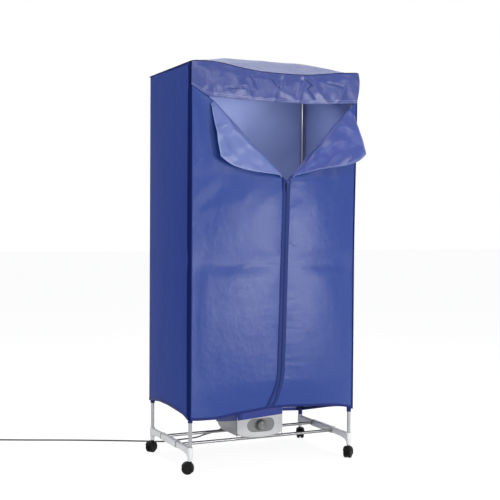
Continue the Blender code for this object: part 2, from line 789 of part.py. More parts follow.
def build_heater(pale, grey, dark, steel, copper):
    """The fan heater that sits on the crossbars."""
    seam = CASE_SEAM_HEIGHT
    tray, cavity = case_shell(0, seam, CASE_WALL, seam + OVERRUN)
    saddles = []
    for side_x in (-1, 1):
        for side_y in (-1, 1):
            x = side_x * SADDLE_SPACING / 2
            y = side_y * (bar_place - SADDLE_WIDTH / 4)
            low = (x - SADDLE_LENGTH / 2, y - SADDLE_WIDTH / 2, bar_height)
            high = (x + SADDLE_LENGTH / 2, y + SADDLE_WIDTH / 2, case_foot + CASE_WALL / 2)
            saddles.append(("UNION", block(low, high)))
    grooves = []
    for y in (-bar_place, bar_place):
        start, end = (-CASE_WIDTH / 2, y, bar_height), (CASE_WIDTH / 2, y, bar_height)
        grooves.append(("DIFFERENCE", rod(bar_radius + FIT_GAP, start, end)))
    offset = MOTOR_RADIUS + INTAKE_SLOT_WIDTH
    intake = []
    for side in (-1, 1):
        for index in range(INTAKE_SLOTS // 2):
            x = side * (offset + 2 * INTAKE_SLOT_WIDTH * index)
            low = (x - INTAKE_SLOT_WIDTH / 2, FAN_PLACE - INTAKE_SLOT_LENGTH / 2, case_foot - OVERRUN)
            high = (x + INTAKE_SLOT_WIDTH / 2, FAN_PLACE + INTAKE_SLOT_LENGTH / 2, case_foot + OVERRUN)
            intake.append(("DIFFERENCE", block(low, high)))
    node("heater_case_lower", combined(tray, [("DIFFERENCE", cavity)] + saddles + grooves + intake), grey)

    shell, cavity = case_shell(seam + FIT_GAP, CASE_HEIGHT, seam - OVERRUN, CASE_HEIGHT - CASE_WALL)
    half = OUTLET_WIDTH / 2
    front, rear = FAN_PLACE - OUTLET_DEPTH / 2, FAN_PLACE + OUTLET_DEPTH / 2
    outlet = block((-half, front, case_top - OVERRUN), (half, rear, case_top + OVERRUN))
    shaft_start, shaft_end = (0, -CASE_FRONT - OVERRUN, dial_height), (0, -CASE_FRONT + OVERRUN, dial_height)
    shaft_hole = rod(SHAFT_RADIUS + FIT_GAP, shaft_start, shaft_end)
    cord_start = (CORD_PLACE, CASE_REAR - OVERRUN, cord_height())
    cord_end = (CORD_PLACE, CASE_REAR + OVERRUN, cord_height())
    cord_hole = rod(RELIEF_ROOT_RADIUS - CASE_WALL, cord_start, cord_end)
    cuts = [("DIFFERENCE", cut) for cut in (cavity, outlet, shaft_hole, cord_hole)]
    node("heater_case_upper", combined(shell, cuts), grey)

    half += GRILLE_MARGIN
    reach = OUTLET_DEPTH / 2 + GRILLE_MARGIN
    low = case_top + FIT_GAP
    plate = block((-half, FAN_PLACE - reach, low), (half, FAN_PLACE + reach, low + GRILLE_THICKNESS))
    pitch = OUTLET_WIDTH / GRILLE_SLOTS
    bars = slots(GRILLE_SLOTS, OUTLET_WIDTH, pitch / 2, OUTLET_DEPTH, low - OVERRUN, low + OVERRUN)
    node("outlet_grille", combined(plate, bars), dark)

    build_fascia(pale, dark)
    build_timer(grey, dark)
    build_fan(dark, steel, copper)


def fascia_ring(share):
    """The fascia's section at a place across it, from -1 to 1."""
    x = share * CASE_WIDTH / 2
    round_off = ease((abs(share) - FASCIA_STRAIGHT_SHARE) / (1 - FASCIA_STRAIGHT_SHARE))
    foot = case_foot - FASCIA_FOOT_DROP + FASCIA_END_RISE * share * share + FASCIA_EDGE * 2 * round_off
    top = case_top - FASCIA_TOP_MARGIN - FASCIA_EDGE * 2 * round_off
    front = fascia_front - FASCIA_BOW * (1 - share * share)
    edge = FASCIA_EDGE
    return [
        (x, fascia_back, foot + edge / 2),
        (x, front + edge, foot),
        (x, front, foot + edge),
        (x, front, top - edge),
        (x, front + edge, top),
        (x, fascia_back, top - edge / 2),
    ]


def pill(length, height, low, high):
    """A round-ended bar shape on the dial's centre, extruded along Y."""
    radius = height / 2
    half = length / 2 - radius
    points = []
    for side, start in ((1, -90), (-1, 90)):
        for share in steps(8):
            angle = math.radians(start + 180 * share)
            points.append((side * half + radius * math.cos(angle), dial_height + radius * math.sin(angle)))
    return extruded(points, low, high, "XZ")


def build_fascia(pale, dark):
    """The pale front plate with its recess, and the dial plate in it."""
    plate = lofted([fascia_ring(mix(-1, 1, share)) for share in steps(12)])
    recess = pill(PILL_LENGTH, PILL_HEIGHT, fascia_front - FASCIA_BOW - OVERRUN, pill_floor)
    hole = rod(SHAFT_RADIUS + FIT_GAP, (0, fascia_front - OVERRUN, dial_height), (0, 0, dial_height))
    node("heater_fascia", combined(plate, [("DIFFERENCE", recess), ("DIFFERENCE", hole)]), pale)
    inset = 2 * FIT_GAP
    dial = pill(PILL_LENGTH - inset, PILL_HEIGHT - inset, pill_front, pill_floor - FIT_GAP)
    start, end = (0, pill_front - OVERRUN, dial_height), (0, pill_floor + OVERRUN, dial_height)
    hole = rod(SHAFT_RADIUS + FIT_GAP, start, end)
    node("dial_plate", combined(dial, [("DIFFERENCE", hole)]), dark)


def build_timer(grey, dark):
    """The timer behind the case's front wall, and the knob on its shaft."""
    back = -CASE_FRONT + CASE_WALL + FIT_GAP
    knob_back = pill_front - FIT_GAP
    half = TIMER_WIDTH / 2
    low = (-half, back, dial_height - TIMER_HEIGHT / 2)
    high = (half, back + TIMER_DEPTH, dial_height + TIMER_HEIGHT / 2)
    box = block(low, high)
    tip = knob_back - KNOB_BORE_DEPTH + FIT_GAP
    shaft = rod(SHAFT_RADIUS, (0, back + TIMER_DEPTH / 2, dial_height), (0, tip, dial_height))
    node("timer_switch", combined(box, [("UNION", shaft)]), dark)
    face = KNOB_DEPTH
    outline = (
        (0, KNOB_BORE_DEPTH),
        (SHAFT_RADIUS + FIT_GAP, KNOB_BORE_DEPTH),
        (SHAFT_RADIUS + FIT_GAP, 0),
        (KNOB_RADIUS, 0),
        (KNOB_RADIUS - KNOB_EDGE / 3, face - KNOB_EDGE),
        (KNOB_RADIUS - KNOB_EDGE, face),
        (0, face),
    )
    knob = turned(outline, WHEEL_SIDES)
    rib_end = KNOB_RADIUS - KNOB_EDGE - FIT_GAP
    low = (-POINTER_WIDTH / 2, rib_end - POINTER_LENGTH, face - POINTER_HEIGHT)
    rib = block(low, (POINTER_WIDTH / 2, rib_end, face + POINTER_HEIGHT))
    shape = moved(combined(knob, [("UNION", rib)]), Matrix.Rotation(math.pi / 2, 4, "X"))
    node("timer_knob", shape, grey, location=(0, knob_back, dial_height))


def build_fan(dark, steel, copper):
    """Motor on the tray, impeller on its shaft, and the heating element over them."""
    floor = case_foot + CASE_WALL + FIT_GAP
    top = MOTOR_HEIGHT
    tip = top + MOTOR_SHAFT_LENGTH
    outline = (
        (0, 0),
        (MOTOR_RADIUS, 0),
        (MOTOR_RADIUS, top),
        (MOTOR_SHAFT_RADIUS, top),
        (MOTOR_SHAFT_RADIUS, tip),
        (0, tip),
    )
    node("fan_motor", turned(outline, TUBE_SIDES), steel, location=(0, FAN_PLACE, floor))
    bore = MOTOR_SHAFT_RADIUS + FIT_GAP
    low = 0
    high = FAN_HUB_HEIGHT
    hub = turned(((FAN_HUB_RADIUS, low), (FAN_HUB_RADIUS, high), (bore, high), (bore, low)), SOCKET_SIDES)
    blades = []
    length = FAN_RADIUS - FAN_HUB_RADIUS
    for index in range(FAN_BLADES):
        half_chord, half_thickness = FAN_CHORD / 2, FAN_BLADE_THICKNESS / 2
        blade = block((-BLADE_ROOT_DEPTH, -half_chord, -half_thickness), (length, half_chord, half_thickness))
        tilt = Matrix.Rotation(FAN_PITCH, 4, "X")
        out = Matrix.Translation((FAN_HUB_RADIUS, 0, high / 2))
        round_hub = Matrix.Rotation(math.tau * index / FAN_BLADES, 4, "Z")
        blades.append(("UNION", moved(blade, round_hub @ out @ tilt)))
    fan_height = floor + MOTOR_HEIGHT + FIT_GAP
    node("fan_impeller", combined(hub, blades), dark, location=(0, FAN_PLACE, fan_height))
    half = CASE_WIDTH / 2 - CASE_WALL - FIT_GAP
    low = case_foot + ELEMENT_RISE
    high = low + ELEMENT_HEIGHT
    body = block((-half, FAN_PLACE - ELEMENT_DEPTH / 2, low), (half, FAN_PLACE + ELEMENT_DEPTH / 2, high))
    span = 2 * (half - ELEMENT_RIM)
    width = span / ELEMENT_SLOTS / 2
    gaps = slots(ELEMENT_SLOTS, span, width, ELEMENT_DEPTH - 2 * ELEMENT_RIM, low - OVERRUN, high + OVERRUN)
    node("heating_element", combined(body, gaps), copper)


# Cover


def flare(side, height):
    """How far a side stands out of plumb at a height. The right one leans out towards the top."""
    return TOP_FLARE * ease((height / COVER_HEIGHT - 0.5) * 2) if side > 0 else 0.0


def edge_x(side, height):
    """The outer face of the cover's upright corner edges."""
    return side * (outer_x + flare(side, height))


def crease(height):
    """1 at the level of the pole joints, fading away from it."""
    return math.exp(-(((height - POLE_JOINT_HEIGHT) / CREASE_HALF_WIDTH) ** 2))


def pillow(share, height, low, high, depth):
    """The swell of a panel between its two upright edges, drawn in at its ends and at the crease."""
    along = min(max((height - low) / (high - low), 0.0), 1.0)
    ends = max(math.sin(math.pi * mix(PILLOW_FOOT_SHARE, 1.0, along)), 0.0) ** PILLOW_POWER
    across = 1 - (2 * share - 1) ** 2
    return across * ends * (depth - min(CREASE_PINCH, depth) * crease(height))


def top_height(x, y):
    """The outer face of the top panel: domed, with a front edge that sags."""
    across = min(max(x / outer_x, -1.0), 1.0)
    along = min(max(y / outer_y, -1.0), 1.0)
    dome = TOP_DOME * (1 - abs(across) ** 5) * (1 - along * along)
    sag = FRONT_EDGE_SAG * through(FRONT_SAG_SHARES, across) * ease(-along)
    return COVER_HEIGHT + dome - sag


def front_hem(x):
    """The front hem's height."""
    return HEM_HEIGHT + FRONT_HEM_RISE * through(FRONT_HEM_SHARES, x / outer_x)


def above_hem(level, x):
    """A level of the front's rows at a place across, where the hem's line lifts the rows below the zip's foot."""
    if level > ZIP_STRAIGHT_FOOT:
        return level
    return mix(front_hem(x), ZIP_STRAIGHT_FOOT, (level - HEM_HEIGHT) / (ZIP_STRAIGHT_FOOT - HEM_HEIGHT))


def side_hem(side, y):
    """A side hem's height. The left one is arched, and the right one falls to the back."""
    if side < 0:
        return HEM_HEIGHT + LEFT_HEM_RISE * through(LEFT_HEM_SHARES, y / outer_y)
    return mix(HEM_HEIGHT, rear_hem_height, through(RIGHT_HEM_SHARES, y / outer_y))


def back_hem(x):
    """The back hem's height, from one side's hem to the other's."""
    return mix(side_hem(-1, outer_y), side_hem(1, outer_y), through(BACK_HEM_SHARES, x / outer_x))


def zip_x(height):
    """The zip's middle: straight down to its foot, then swung to the left at the hem."""
    share = (height - ZIP_STRAIGHT_FOOT) / (ZIP_TOP_HEIGHT - ZIP_STRAIGHT_FOOT)
    line = mix(ZIP_FOOT_OFFSET, ZIP_TOP_OFFSET, share)
    below = max((ZIP_STRAIGHT_FOOT - height) / (ZIP_STRAIGHT_FOOT - HEM_HEIGHT), 0.0)
    return line - ZIP_HEM_SHIFT * below * below


def edge_bulge(height, leaf_top):
    """How far the zip, and above it the fold line, stands in front of the cover's front plane."""
    if height > ZIP_TOP_HEIGHT:
        return mix(ZIP_TOP_BULGE, LEAF_TOP_BULGE, (height - ZIP_TOP_HEIGHT) / (leaf_top - ZIP_TOP_HEIGHT))
    if height > ZIP_STRAIGHT_FOOT:
        share = (height - ZIP_STRAIGHT_FOOT) / (ZIP_TOP_HEIGHT - ZIP_STRAIGHT_FOOT)
        return mix(ZIP_FOOT_BULGE, ZIP_TOP_BULGE, share)
    share = (height - HEM_HEIGHT) / (ZIP_STRAIGHT_FOOT - HEM_HEIGHT)
    return mix(ZIP_HEM_BULGE, ZIP_FOOT_BULGE, share)


def fold_run(side):
    """How far across its leaf a side's fold line runs."""
    return LEFT_FOLD_RUN if side < 0 else RIGHT_FOLD_RUN


def leaf_point(side, leaf_top):
    """The outer face of a door leaf, from its corner edge (0) to its zip or fold edge (1)."""

    def surface(share, row):
        low = HEM_HEIGHT
        height = mix(low, leaf_top, row)
        corner = edge_x(side, height)
        if height <= ZIP_TOP_HEIGHT:
            inner = zip_x(height) + side * (ZIP_BAND / 2 + FIT_GAP)
        else:
            across = fold_run(side) * (height - ZIP_TOP_HEIGHT) / (leaf_top - ZIP_TOP_HEIGHT)
            inner = ZIP_TOP_OFFSET + side * (max(across, ZIP_BAND / 2) + FOLD_SETBACK)
        x = mix(corner, inner, share)
        bulge = edge_bulge(height, leaf_top) * math.sin(share * math.pi / 2) ** EDGE_BULGE_POWER
        bulge += pillow(share, height, low, leaf_top, FRONT_BULGE)
        return Vector((x, -outer_y - bulge, above_hem(height, x)))

    return surface


def zip_levels(count):
    """Heights of rows of cloth up the zip, with this many in its straight stretch."""
    levels = [mix(HEM_HEIGHT, ZIP_STRAIGHT_FOOT, share) for share in steps(5)]
    return levels + [mix(ZIP_STRAIGHT_FOOT, ZIP_TOP_HEIGHT, share) for share in steps(count)[1:]]


def leaf_rows(leaf_top):
    """Rows of a leaf: level with the zip's, with one at the crease, and on up beside the mouth."""
    levels = zip_levels(6)
    nearest = min(range(6, len(levels) - 1), key=lambda index: abs(levels[index] - POLE_JOINT_HEIGHT))
    levels[nearest] = POLE_JOINT_HEIGHT
    levels += [mix(ZIP_TOP_HEIGHT, leaf_top, share) for share in steps(4)[1:]]
    return [(level - HEM_HEIGHT) / (leaf_top - HEM_HEIGHT) for level in levels]


def tape_surface(side):
    """The outer face of one half of the zip. Its inner edge carries the raised row of teeth."""

    def surface(offset, height):
        below = max(1 - (height - HEM_HEIGHT) / ZIP_SPLIT_RISE, 0.0)
        split = ZIP_SPLIT_WIDTH / 2 * math.sin(math.pi * min(below, 1.0)) if below else 0.0
        near = FIT_GAP / 2 + split
        x = zip_x(height) + side * mix(near, ZIP_BAND / 2, offset / (ZIP_BAND / 2))
        row = ZIP_ROW_HEIGHT if offset < ZIP_ROW_WIDTH / 2 + FIT_GAP / 2 else 0.0
        bulge = edge_bulge(height, ZIP_TOP_HEIGHT + OVERRUN) + row
        return Vector((x, -outer_y - bulge, above_hem(height, x)))

    return surface


def build_zip(navy):
    """The two halves of the zip, closed up to the mouth and parted a little at the hem."""
    levels = zip_levels(4)
    offsets = (0.0, ZIP_ROW_WIDTH / 2, ZIP_ROW_WIDTH / 2 + FIT_GAP, ZIP_BAND / 2)
    for name, side in (("left", -1), ("right", 1)):
        shape = sheet(offsets, levels, tape_surface(side), (0, CLOTH, 0))
        node(f"zip_tape_{name}", shape, navy)


def fold_ends(side):
    """The fold line's two ends, at the zip's top and at the leaf's top."""
    leaf_top = LEFT_LEAF_TOP if side < 0 else RIGHT_LEAF_TOP
    front = -outer_y - LAPEL_LIFT / 2
    start = Vector((ZIP_TOP_OFFSET, front - ZIP_TOP_BULGE, ZIP_TOP_HEIGHT))
    end = Vector((ZIP_TOP_OFFSET + side * fold_run(side), front - LEAF_TOP_BULGE, leaf_top))
    return start, end


def lapel_length(side):
    """How far along its fold line a lapel reaches: up to just under the header's hem."""
    start, end = fold_ends(side)
    climb = HEADER_HEM_HEIGHT - LAPEL_HEADER_GAP - ZIP_TOP_HEIGHT
    return (end - start).length * climb / (end.z - start.z)


def lapel_frame(side):
    """The fold line's start, its direction, and the directions across it and forward."""
    start, end = fold_ends(side)
    along = (end - start).normalized()
    forward = Vector((0, -1, 0))
    forward = (forward - along * forward.dot(along)).normalized()
    across = along.cross(forward) if side > 0 else forward.cross(along)
    return start, along, across, forward


def lapel(side, outline, most, apex_flare):
    """A turned-out door corner. It rolls over its fold line and lies in front of its leaf."""
    start, along, across, forward = lapel_frame(side)
    length = lapel_length(side)

    def surface(share, reach):
        distance = mix(LAPEL_START, length, share)
        width = max(most * through(outline, share), 4 * LAPEL_ROOT)
        out = LAPEL_ROOT + (width - LAPEL_ROOT) * reach
        roll = LAPEL_ROLL * through(LAPEL_LIFT_SHARES, reach) * through(LAPEL_END_SHARES, share)
        lift = LAPEL_LIFT / 2 + roll
        lift += apex_flare * reach * reach * math.sin(math.pi * share) ** 2
        return start + along * distance + across * out + forward * lift

    columns = steps(12)
    rows = [share**LAPEL_ROW_POWER for share in steps(6)]
    return sheet(columns, rows, surface, (0, -CLOTH, 0))


def header_surface(share, row):
    """The header band's outer face, from its top edge (0) to its hem (1)."""
    across = mix(-1.0, 1.0, share)
    x = mix(edge_x(-1, COVER_HEIGHT), edge_x(1, COVER_HEIGHT) - HEADER_END_DRAW * row * row, share)
    top = top_height(x, -outer_y) - CLOTH - FIT_GAP
    hem = HEADER_HEM_HEIGHT + HEADER_HEM_LIFT * through(HEADER_HEM_SHARES, across)
    height = mix(top, hem, row)
    swell = HEADER_BULGE * through(HEADER_ROW_SHARES, row) * through(HEADER_COLUMN_SHARES, across)
    swell += (HEADER_HEM_BULGE - HEADER_BULGE) * row * through(HEADER_COLUMN_SHARES, across)
    swell += HEADER_FOLD * ease(row * 2) * math.sin(HEADER_FOLDS * math.pi * share) ** 2 * (1 - across**4)
    return Vector((x, -outer_y - HEADER_STANDOFF - swell, height))


def side_panel(side):
    """A side panel between the front and back panels, with its own hem."""

    def surface(share, row):
        y = mix(-1, 1, share) * (inner_y - FIT_GAP)
        low = side_hem(side, y)
        height = mix(low, COVER_HEIGHT, row)
        x = edge_x(side, height) + side * pillow(share, height, low, COVER_HEIGHT, SIDE_BULGE)
        if row == 1:
            height = top_height(x, y) - CLOTH - FIT_GAP
        return Vector((x, y, height))

    return sheet(steps(6), steps(12), surface, (-side * CLOTH, 0, 0))


def back_panel():
    """The back panel, over both back corners."""

    def surface(share, row):
        low = back_hem(mix(-outer_x, outer_x, share))
        height = mix(low, COVER_HEIGHT, row)
        x = mix(edge_x(-1, height), edge_x(1, height), share)
        y = outer_y + pillow(share, height, low, COVER_HEIGHT, BACK_BULGE)
        if row == 1:
            height = top_height(x, outer_y) - CLOTH - FIT_GAP
        return Vector((x, y, height))

    return sheet(steps(7), steps(12), surface, (0, -CLOTH, 0))


def top_panel():
    """The domed top panel."""

    def surface(share, row):
        x = mix(edge_x(-1, COVER_HEIGHT), edge_x(1, COVER_HEIGHT), share)
        y = mix(-outer_y - HEADER_STANDOFF, outer_y, row)
        return Vector((x, y, top_height(x, y)))

    return sheet(steps(TOP_COLUMNS), steps(8), surface, (0, 0, -CLOTH))


def cuff_ring(inset, height):
    """The plan of the cuff, which goes round the case and the fascia."""
    half = CASE_WIDTH / 2 + CUFF_CLEARANCE + CLOTH - inset
    front = fascia_front - FASCIA_BOW - CUFF_CLEARANCE - CLOTH + inset
    rear = CASE_REAR + CUFF_CLEARANCE + CLOTH - inset
    outline = rounded_outline(-half, half, front, rear, CASE_FRONT_RADIUS - inset, CASE_REAR_RADIUS - inset)
    span = rear - front
    return [(x, y, height(x / half, (y - front) / span)) for x, y in outline]


def floor_panel():
    """The cover's floor with holes for the poles, and the cuff that hangs from it round the heater."""
    foot = floor_height - CLOTH
    width = inner_x - FIT_GAP
    depth = inner_y - FIT_GAP
    plate = block((-width, -depth, foot), (width, depth, floor_height))

    def slant(across, share):
        return floor_height - mix(CUFF_FRONT_DROP, CUFF_REAR_DROP, share) + CUFF_SLANT * across

    cuff = lofted([cuff_ring(0, slant), cuff_ring(0, lambda across, share: floor_height - CLOTH / 2)])
    below, above = case_foot - OVERRUN, floor_height + OVERRUN
    hollow = lofted([cuff_ring(CLOTH, lambda across, share: below), cuff_ring(CLOTH, lambda across, share: above)])
    side = CORD_NOTCH_WIDTH / 2
    notch_top = cord_height() + RELIEF_ROOT_RADIUS + CORD_NOTCH_MARGIN
    low = (CORD_PLACE - side, CASE_REAR - OVERRUN, below)
    high = (CORD_PLACE + side, CASE_REAR + 2 * OVERRUN, notch_top)
    tools = [("UNION", cuff), ("DIFFERENCE", hollow), ("DIFFERENCE", block(low, high))]
    for side_x, side_y in CORNERS.values():
        x, y = side_x * half_width, side_y * half_depth
        hole = rod(pole_radius + 2 * FIT_GAP, (x, y, foot - OVERRUN), (x, y, above))
        tools.append(("DIFFERENCE", hole))
    return combined(plate, tools)


def build_cover(blue, navy):
    """Every sewn panel of the cover."""
    node("cover_top", top_panel(), blue)
    node("cover_back", back_panel(), blue)
    node("cover_left", side_panel(-1), blue)
    node("cover_right", side_panel(1), blue)
    for name, side, leaf_top in (("left", -1, LEFT_LEAF_TOP), ("right", 1, RIGHT_LEAF_TOP)):
        shape = sheet(steps(7), leaf_rows(leaf_top), leaf_point(side, leaf_top), (0, CLOTH, 0))
        node(f"cover_front_{name}", shape, blue)
    node("cover_header", sheet(steps(TOP_COLUMNS), steps(5), header_surface, (0, CLOTH, 0)), blue)
    node("lapel_left", lapel(-1, LEFT_LAPEL_SHARES, LEFT_LAPEL_REACH, 0.0), blue)
    node("lapel_right", lapel(1, RIGHT_LAPEL_SHARES, RIGHT_LAPEL_REACH, RIGHT_LAPEL_FLARE), blue)
    node("cover_floor", floor_panel(), navy)
    build_zip(navy)


# Zip slider


def build_slider(metal):
    """The slider over the row of teeth at the mouth, and the pull on its pin."""
    top = Vector((zip_x(ZIP_TOP_HEIGHT), -outer_y - ZIP_TOP_BULGE, ZIP_TOP_HEIGHT))
    foot = Vector((zip_x(ZIP_STRAIGHT_FOOT), -outer_y - ZIP_FOOT_BULGE, ZIP_STRAIGHT_FOOT))
    line = (top - foot).normalized()
    inward = Vector((0, 1, 0))
    inward = (inward - line * inward.dot(line)).normalized()
    turn = Matrix((inward.cross(line), inward, line)).transposed().to_euler()
    centre = top - line * SLIDER_LENGTH / 2
    frame = placed("zip_slide_line", None, None, centre, turn)
    half = SLIDER_WIDTH / 2
    channel = ZIP_ROW_WIDTH / 2 + SLIDER_CHANNEL_SIDE
    back = -FIT_GAP
    roof = -ZIP_ROW_HEIGHT - 2 * FIT_GAP
    front = back - SLIDER_DEPTH
    outline = (
        (-half, back),
        (-half, front),
        (half, front),
        (half, back),
        (channel, back),
        (channel, roof),
        (-channel, roof),
        (-channel, back),
    )
    body = extruded(outline, -SLIDER_LENGTH / 2, SLIDER_LENGTH / 2)
    ear_inner = PULL_WIDTH / 4
    pin_y = front - EAR_HEIGHT + EAR_LENGTH / 2 - PIN_RADIUS
    pin_z = SLIDER_LENGTH / 2 - EAR_LENGTH
    tools = []
    for side in (-1, 1):
        edges = sorted((side * ear_inner, side * (ear_inner + EAR_THICKNESS)))
        low = (edges[0], front - EAR_HEIGHT, pin_z - EAR_LENGTH / 2)
        high = (edges[1], front + SLIDER_DEPTH / 4, pin_z + EAR_LENGTH / 2)
        tools.append(("UNION", block(low, high)))
    reach = ear_inner + EAR_THICKNESS / 2
    tools.append(("UNION", rod(PIN_RADIUS, (-reach, pin_y, pin_z), (reach, pin_y, pin_z), 8)))
    node("zip_slider", combined(body, tools), metal, frame)
    plumb = math.atan2(line.y, line.z)
    hinge = placed("zip_pull_pin", None, frame, (0, pin_y, pin_z), (plumb, 0, 0))
    neck = ear_inner - FIT_GAP
    eye = PIN_RADIUS + 3 * FIT_GAP
    half_thickness = PULL_THICKNESS / 2
    head = rod(eye + PULL_THICKNESS / 2, (-neck, 0, 0), (neck, 0, 0), 12)
    shank_top = -eye
    shoulder = -EAR_LENGTH
    half_pull = PULL_WIDTH / 2
    outline = (
        (-neck, shank_top),
        (-neck, shoulder),
        (-half_pull, shoulder - neck),
        (-half_pull, half_pull - PULL_LENGTH),
        (-half_pull / 2, -PULL_LENGTH),
        (half_pull / 2, -PULL_LENGTH),
        (half_pull, half_pull - PULL_LENGTH),
        (half_pull, shoulder - neck),
        (neck, shoulder),
        (neck, shank_top),
    )
    plate = extruded(outline, -half_thickness, half_thickness, "XZ")
    hole = rod(PIN_RADIUS + FIT_GAP, (-half, 0, 0), (half, 0, 0), 12)
    node("zip_pull", combined(head, [("UNION", plate), ("DIFFERENCE", hole)]), metal, hinge)


# Cord


def cord_height():
    """The height at which the cord leaves the case."""
    return case_foot + CORD_HEIGHT


def relief_tip():
    """Where the cord leaves its strain relief."""
    return Vector((CORD_PLACE, CASE_REAR + FIT_GAP + RELIEF_LENGTH + FIT_GAP, cord_height()))


def smooth_route(points, spacing):
    """Evenly spaced points on one smooth curve through the route's points."""
    points = [Vector(point) for point in points]
    ends = [2 * points[0] - points[1]] + points + [2 * points[-1] - points[-2]]
    fine = []
    for before, start, end, after in zip(ends, ends[1:], ends[2:], ends[3:]):
        for share in steps(24)[:-1]:
            fine.append(
                0.5
                * (
                    2 * start
                    + (end - before) * share
                    + (2 * before - 5 * start + 4 * end - after) * share**2
                    + (3 * start - before - 3 * end + after) * share**3
                )
            )
    fine.append(points[-1])
    lengths = [0.0]
    for start, end in zip(fine, fine[1:]):
        lengths.append(lengths[-1] + (end - start).length)
    count = round(lengths[-1] / spacing)
    even = []
    index = 0
    for step in range(count + 1):
        target = lengths[-1] * step / count
        while index < len(fine) - 2 and lengths[index + 1] < target:
            index += 1
        span = lengths[index + 1] - lengths[index]
        even.append(fine[index].lerp(fine[index + 1], (target - lengths[index]) / span))
    return even


def coil_points(entry, heading):
    """A coil in layers: it winds in from the entry, climbs, and winds out again."""
    pitch = CORD_DIAMETER + CORD_SPACING
    turns = COIL_TURNS_A_LAYER
    aside = heading.cross(Vector((0, 0, 1))).normalized()
    centre = entry + aside * COIL_RADIUS
    start = math.atan2(-aside.y, -aside.x)
    points = []
    total = 2 * turns + COIL_CLIMB_TURNS
    for index in range(int(total * LOOP_POINTS) + 1):
        turn = index / LOOP_POINTS
        climb = ease((turn - turns) / COIL_CLIMB_TURNS)
        inward = min(turn, turns) + COIL_DIP_SHARE * math.sin(math.pi * climb)
        outward = max(turn - turns - COIL_CLIMB_TURNS, 0.0)
        radius = COIL_RADIUS - pitch * (inward - outward)
        angle = start - math.tau * turn
        place = centre + radius * Vector((math.cos(angle), math.sin(angle), 0))
        points.append(place + Vector((0, 0, pitch * climb)))
    last = (points[-1] - points[-2]).normalized()
    points.append(points[-1] + last * CORD_DIAMETER)
    return points


def least_gap(points):
    """The smallest clear distance between stretches of the tube that aren't neighbours."""
    skip = LOOP_POINTS // 2
    gaps = [(a - b).length for i, a in enumerate(points) for b in points[i + skip :]]
    return min(gaps) - CORD_DIAMETER


def cord_node(name, points, resolution, material):
    """A round cord along the points."""
    curve = bpy.data.curves.new(name, "CURVE")
    curve.dimensions = "3D"
    curve.bevel_depth = CORD_DIAMETER / 2
    curve.bevel_resolution = resolution
    curve.use_fill_caps = True
    line = curve.splines.new("POLY")
    line.points.add(len(points) - 1)
    for target, point in zip(line.points, points):
        target.co = (*point, 1)
    curve.materials.append(material)
    return placed(name, curve)


def build_cord(black, steel):
    """Strain relief, the lead over the floor, the coil and the plug."""
    root = (CORD_PLACE, CASE_REAR + FIT_GAP, cord_height())
    bore = CORD_DIAMETER / 2 - CASE_WALL / 2
    outline = (
        (RELIEF_ROOT_RADIUS, 0),
        (RELIEF_TIP_RADIUS, RELIEF_LENGTH),
        (bore, RELIEF_LENGTH),
        (bore, 0),
    )
    shape = moved(turned(outline, TUBE_SIDES), Matrix.Rotation(-math.pi / 2, 4, "X"))
    node("cord_strain_relief", shape, black, location=root)
    tip = relief_tip()
    route = [tip, tip + Vector((0, 2 * CORD_DIAMETER, 0))] + [Vector(point) for point in CORD_ROUTE]
    lead = smooth_route(route, CORD_POINT_SPACING)
    heading = (lead[-1] - lead[-2]).normalized()
    lead.append(lead[-1] + heading * CORD_DIAMETER)
    cord_node("cord_lead", lead, 2, black)
    entry = lead[-1] + heading * FIT_GAP
    coil = coil_points(entry + heading * CORD_DIAMETER, heading)
    coil.insert(0, entry)
    print(f"least gap of the coil to itself: {least_gap(coil) * 1000:.2f} mm")
    lead_length = sum((b - a).length for a, b in zip(lead, lead[1:]))
    coil_length = sum((b - a).length for a, b in zip(coil, coil[1:]))
    print(f"cord length: {lead_length + coil_length:.3f} m, {lead_length:.3f} m of it in the lead")
    cord_node("cord_coil", coil, 1, black)
    out = (coil[-1] - coil[-2]).normalized()
    build_plug(coil[-1] + out * FIT_GAP, out, black, steel)


def build_plug(root, heading, black, steel):
    """The mains plug: neck, body and two round pins."""
    neck = PLUG_NECK_LENGTH
    end = neck + PLUG_LENGTH
    edge = PLUG_RADIUS / 4
    outline = (
        (0, 0),
        (RELIEF_TIP_RADIUS, 0),
        (RELIEF_ROOT_RADIUS, neck),
        (PLUG_RADIUS - edge, neck + edge),
        (PLUG_RADIUS, neck + PLUG_LENGTH / 2),
        (PLUG_RADIUS, end - edge),
        (PLUG_RADIUS - edge, end),
        (0, end),
    )
    body = turned(outline, TUBE_SIDES)
    half = PLUG_PIN_SPACING / 2
    pins = [
        ("UNION", rod(PLUG_PIN_RADIUS, (side * half, 0, end - edge), (side * half, 0, end + PLUG_PIN_LENGTH), 8))
        for side in (-1, 1)
    ]
    shape = moved(combined(body, pins), Matrix.Scale(PLUG_FLATNESS_SHARE, 4, (0, 1, 0)))
    turn = heading.to_track_quat("Z", "Y").to_euler()
    node("mains_plug", shape, black, None, root, turn)


def centre_on_origin():
    """Puts the origin on the floor under the middle of the dryer, its cord left out."""
    bpy.context.view_layer.update()
    left_out = {bpy.data.objects[name] for name in CORD_NODES}
    places = [
        made.matrix_world @ vertex.co
        for made in bpy.data.objects
        if made.type == "MESH" and made not in left_out
        for vertex in made.data.vertices
    ]
    low = Vector([min(place[axis] for place in places) for axis in range(3)])
    high = Vector([max(place[axis] for place in places) for axis in range(3)])
    middle = (low + high) / 2
    for made in bpy.data.objects:
        if made.parent is None:
            made.location -= Vector((middle.x, middle.y, low.z))


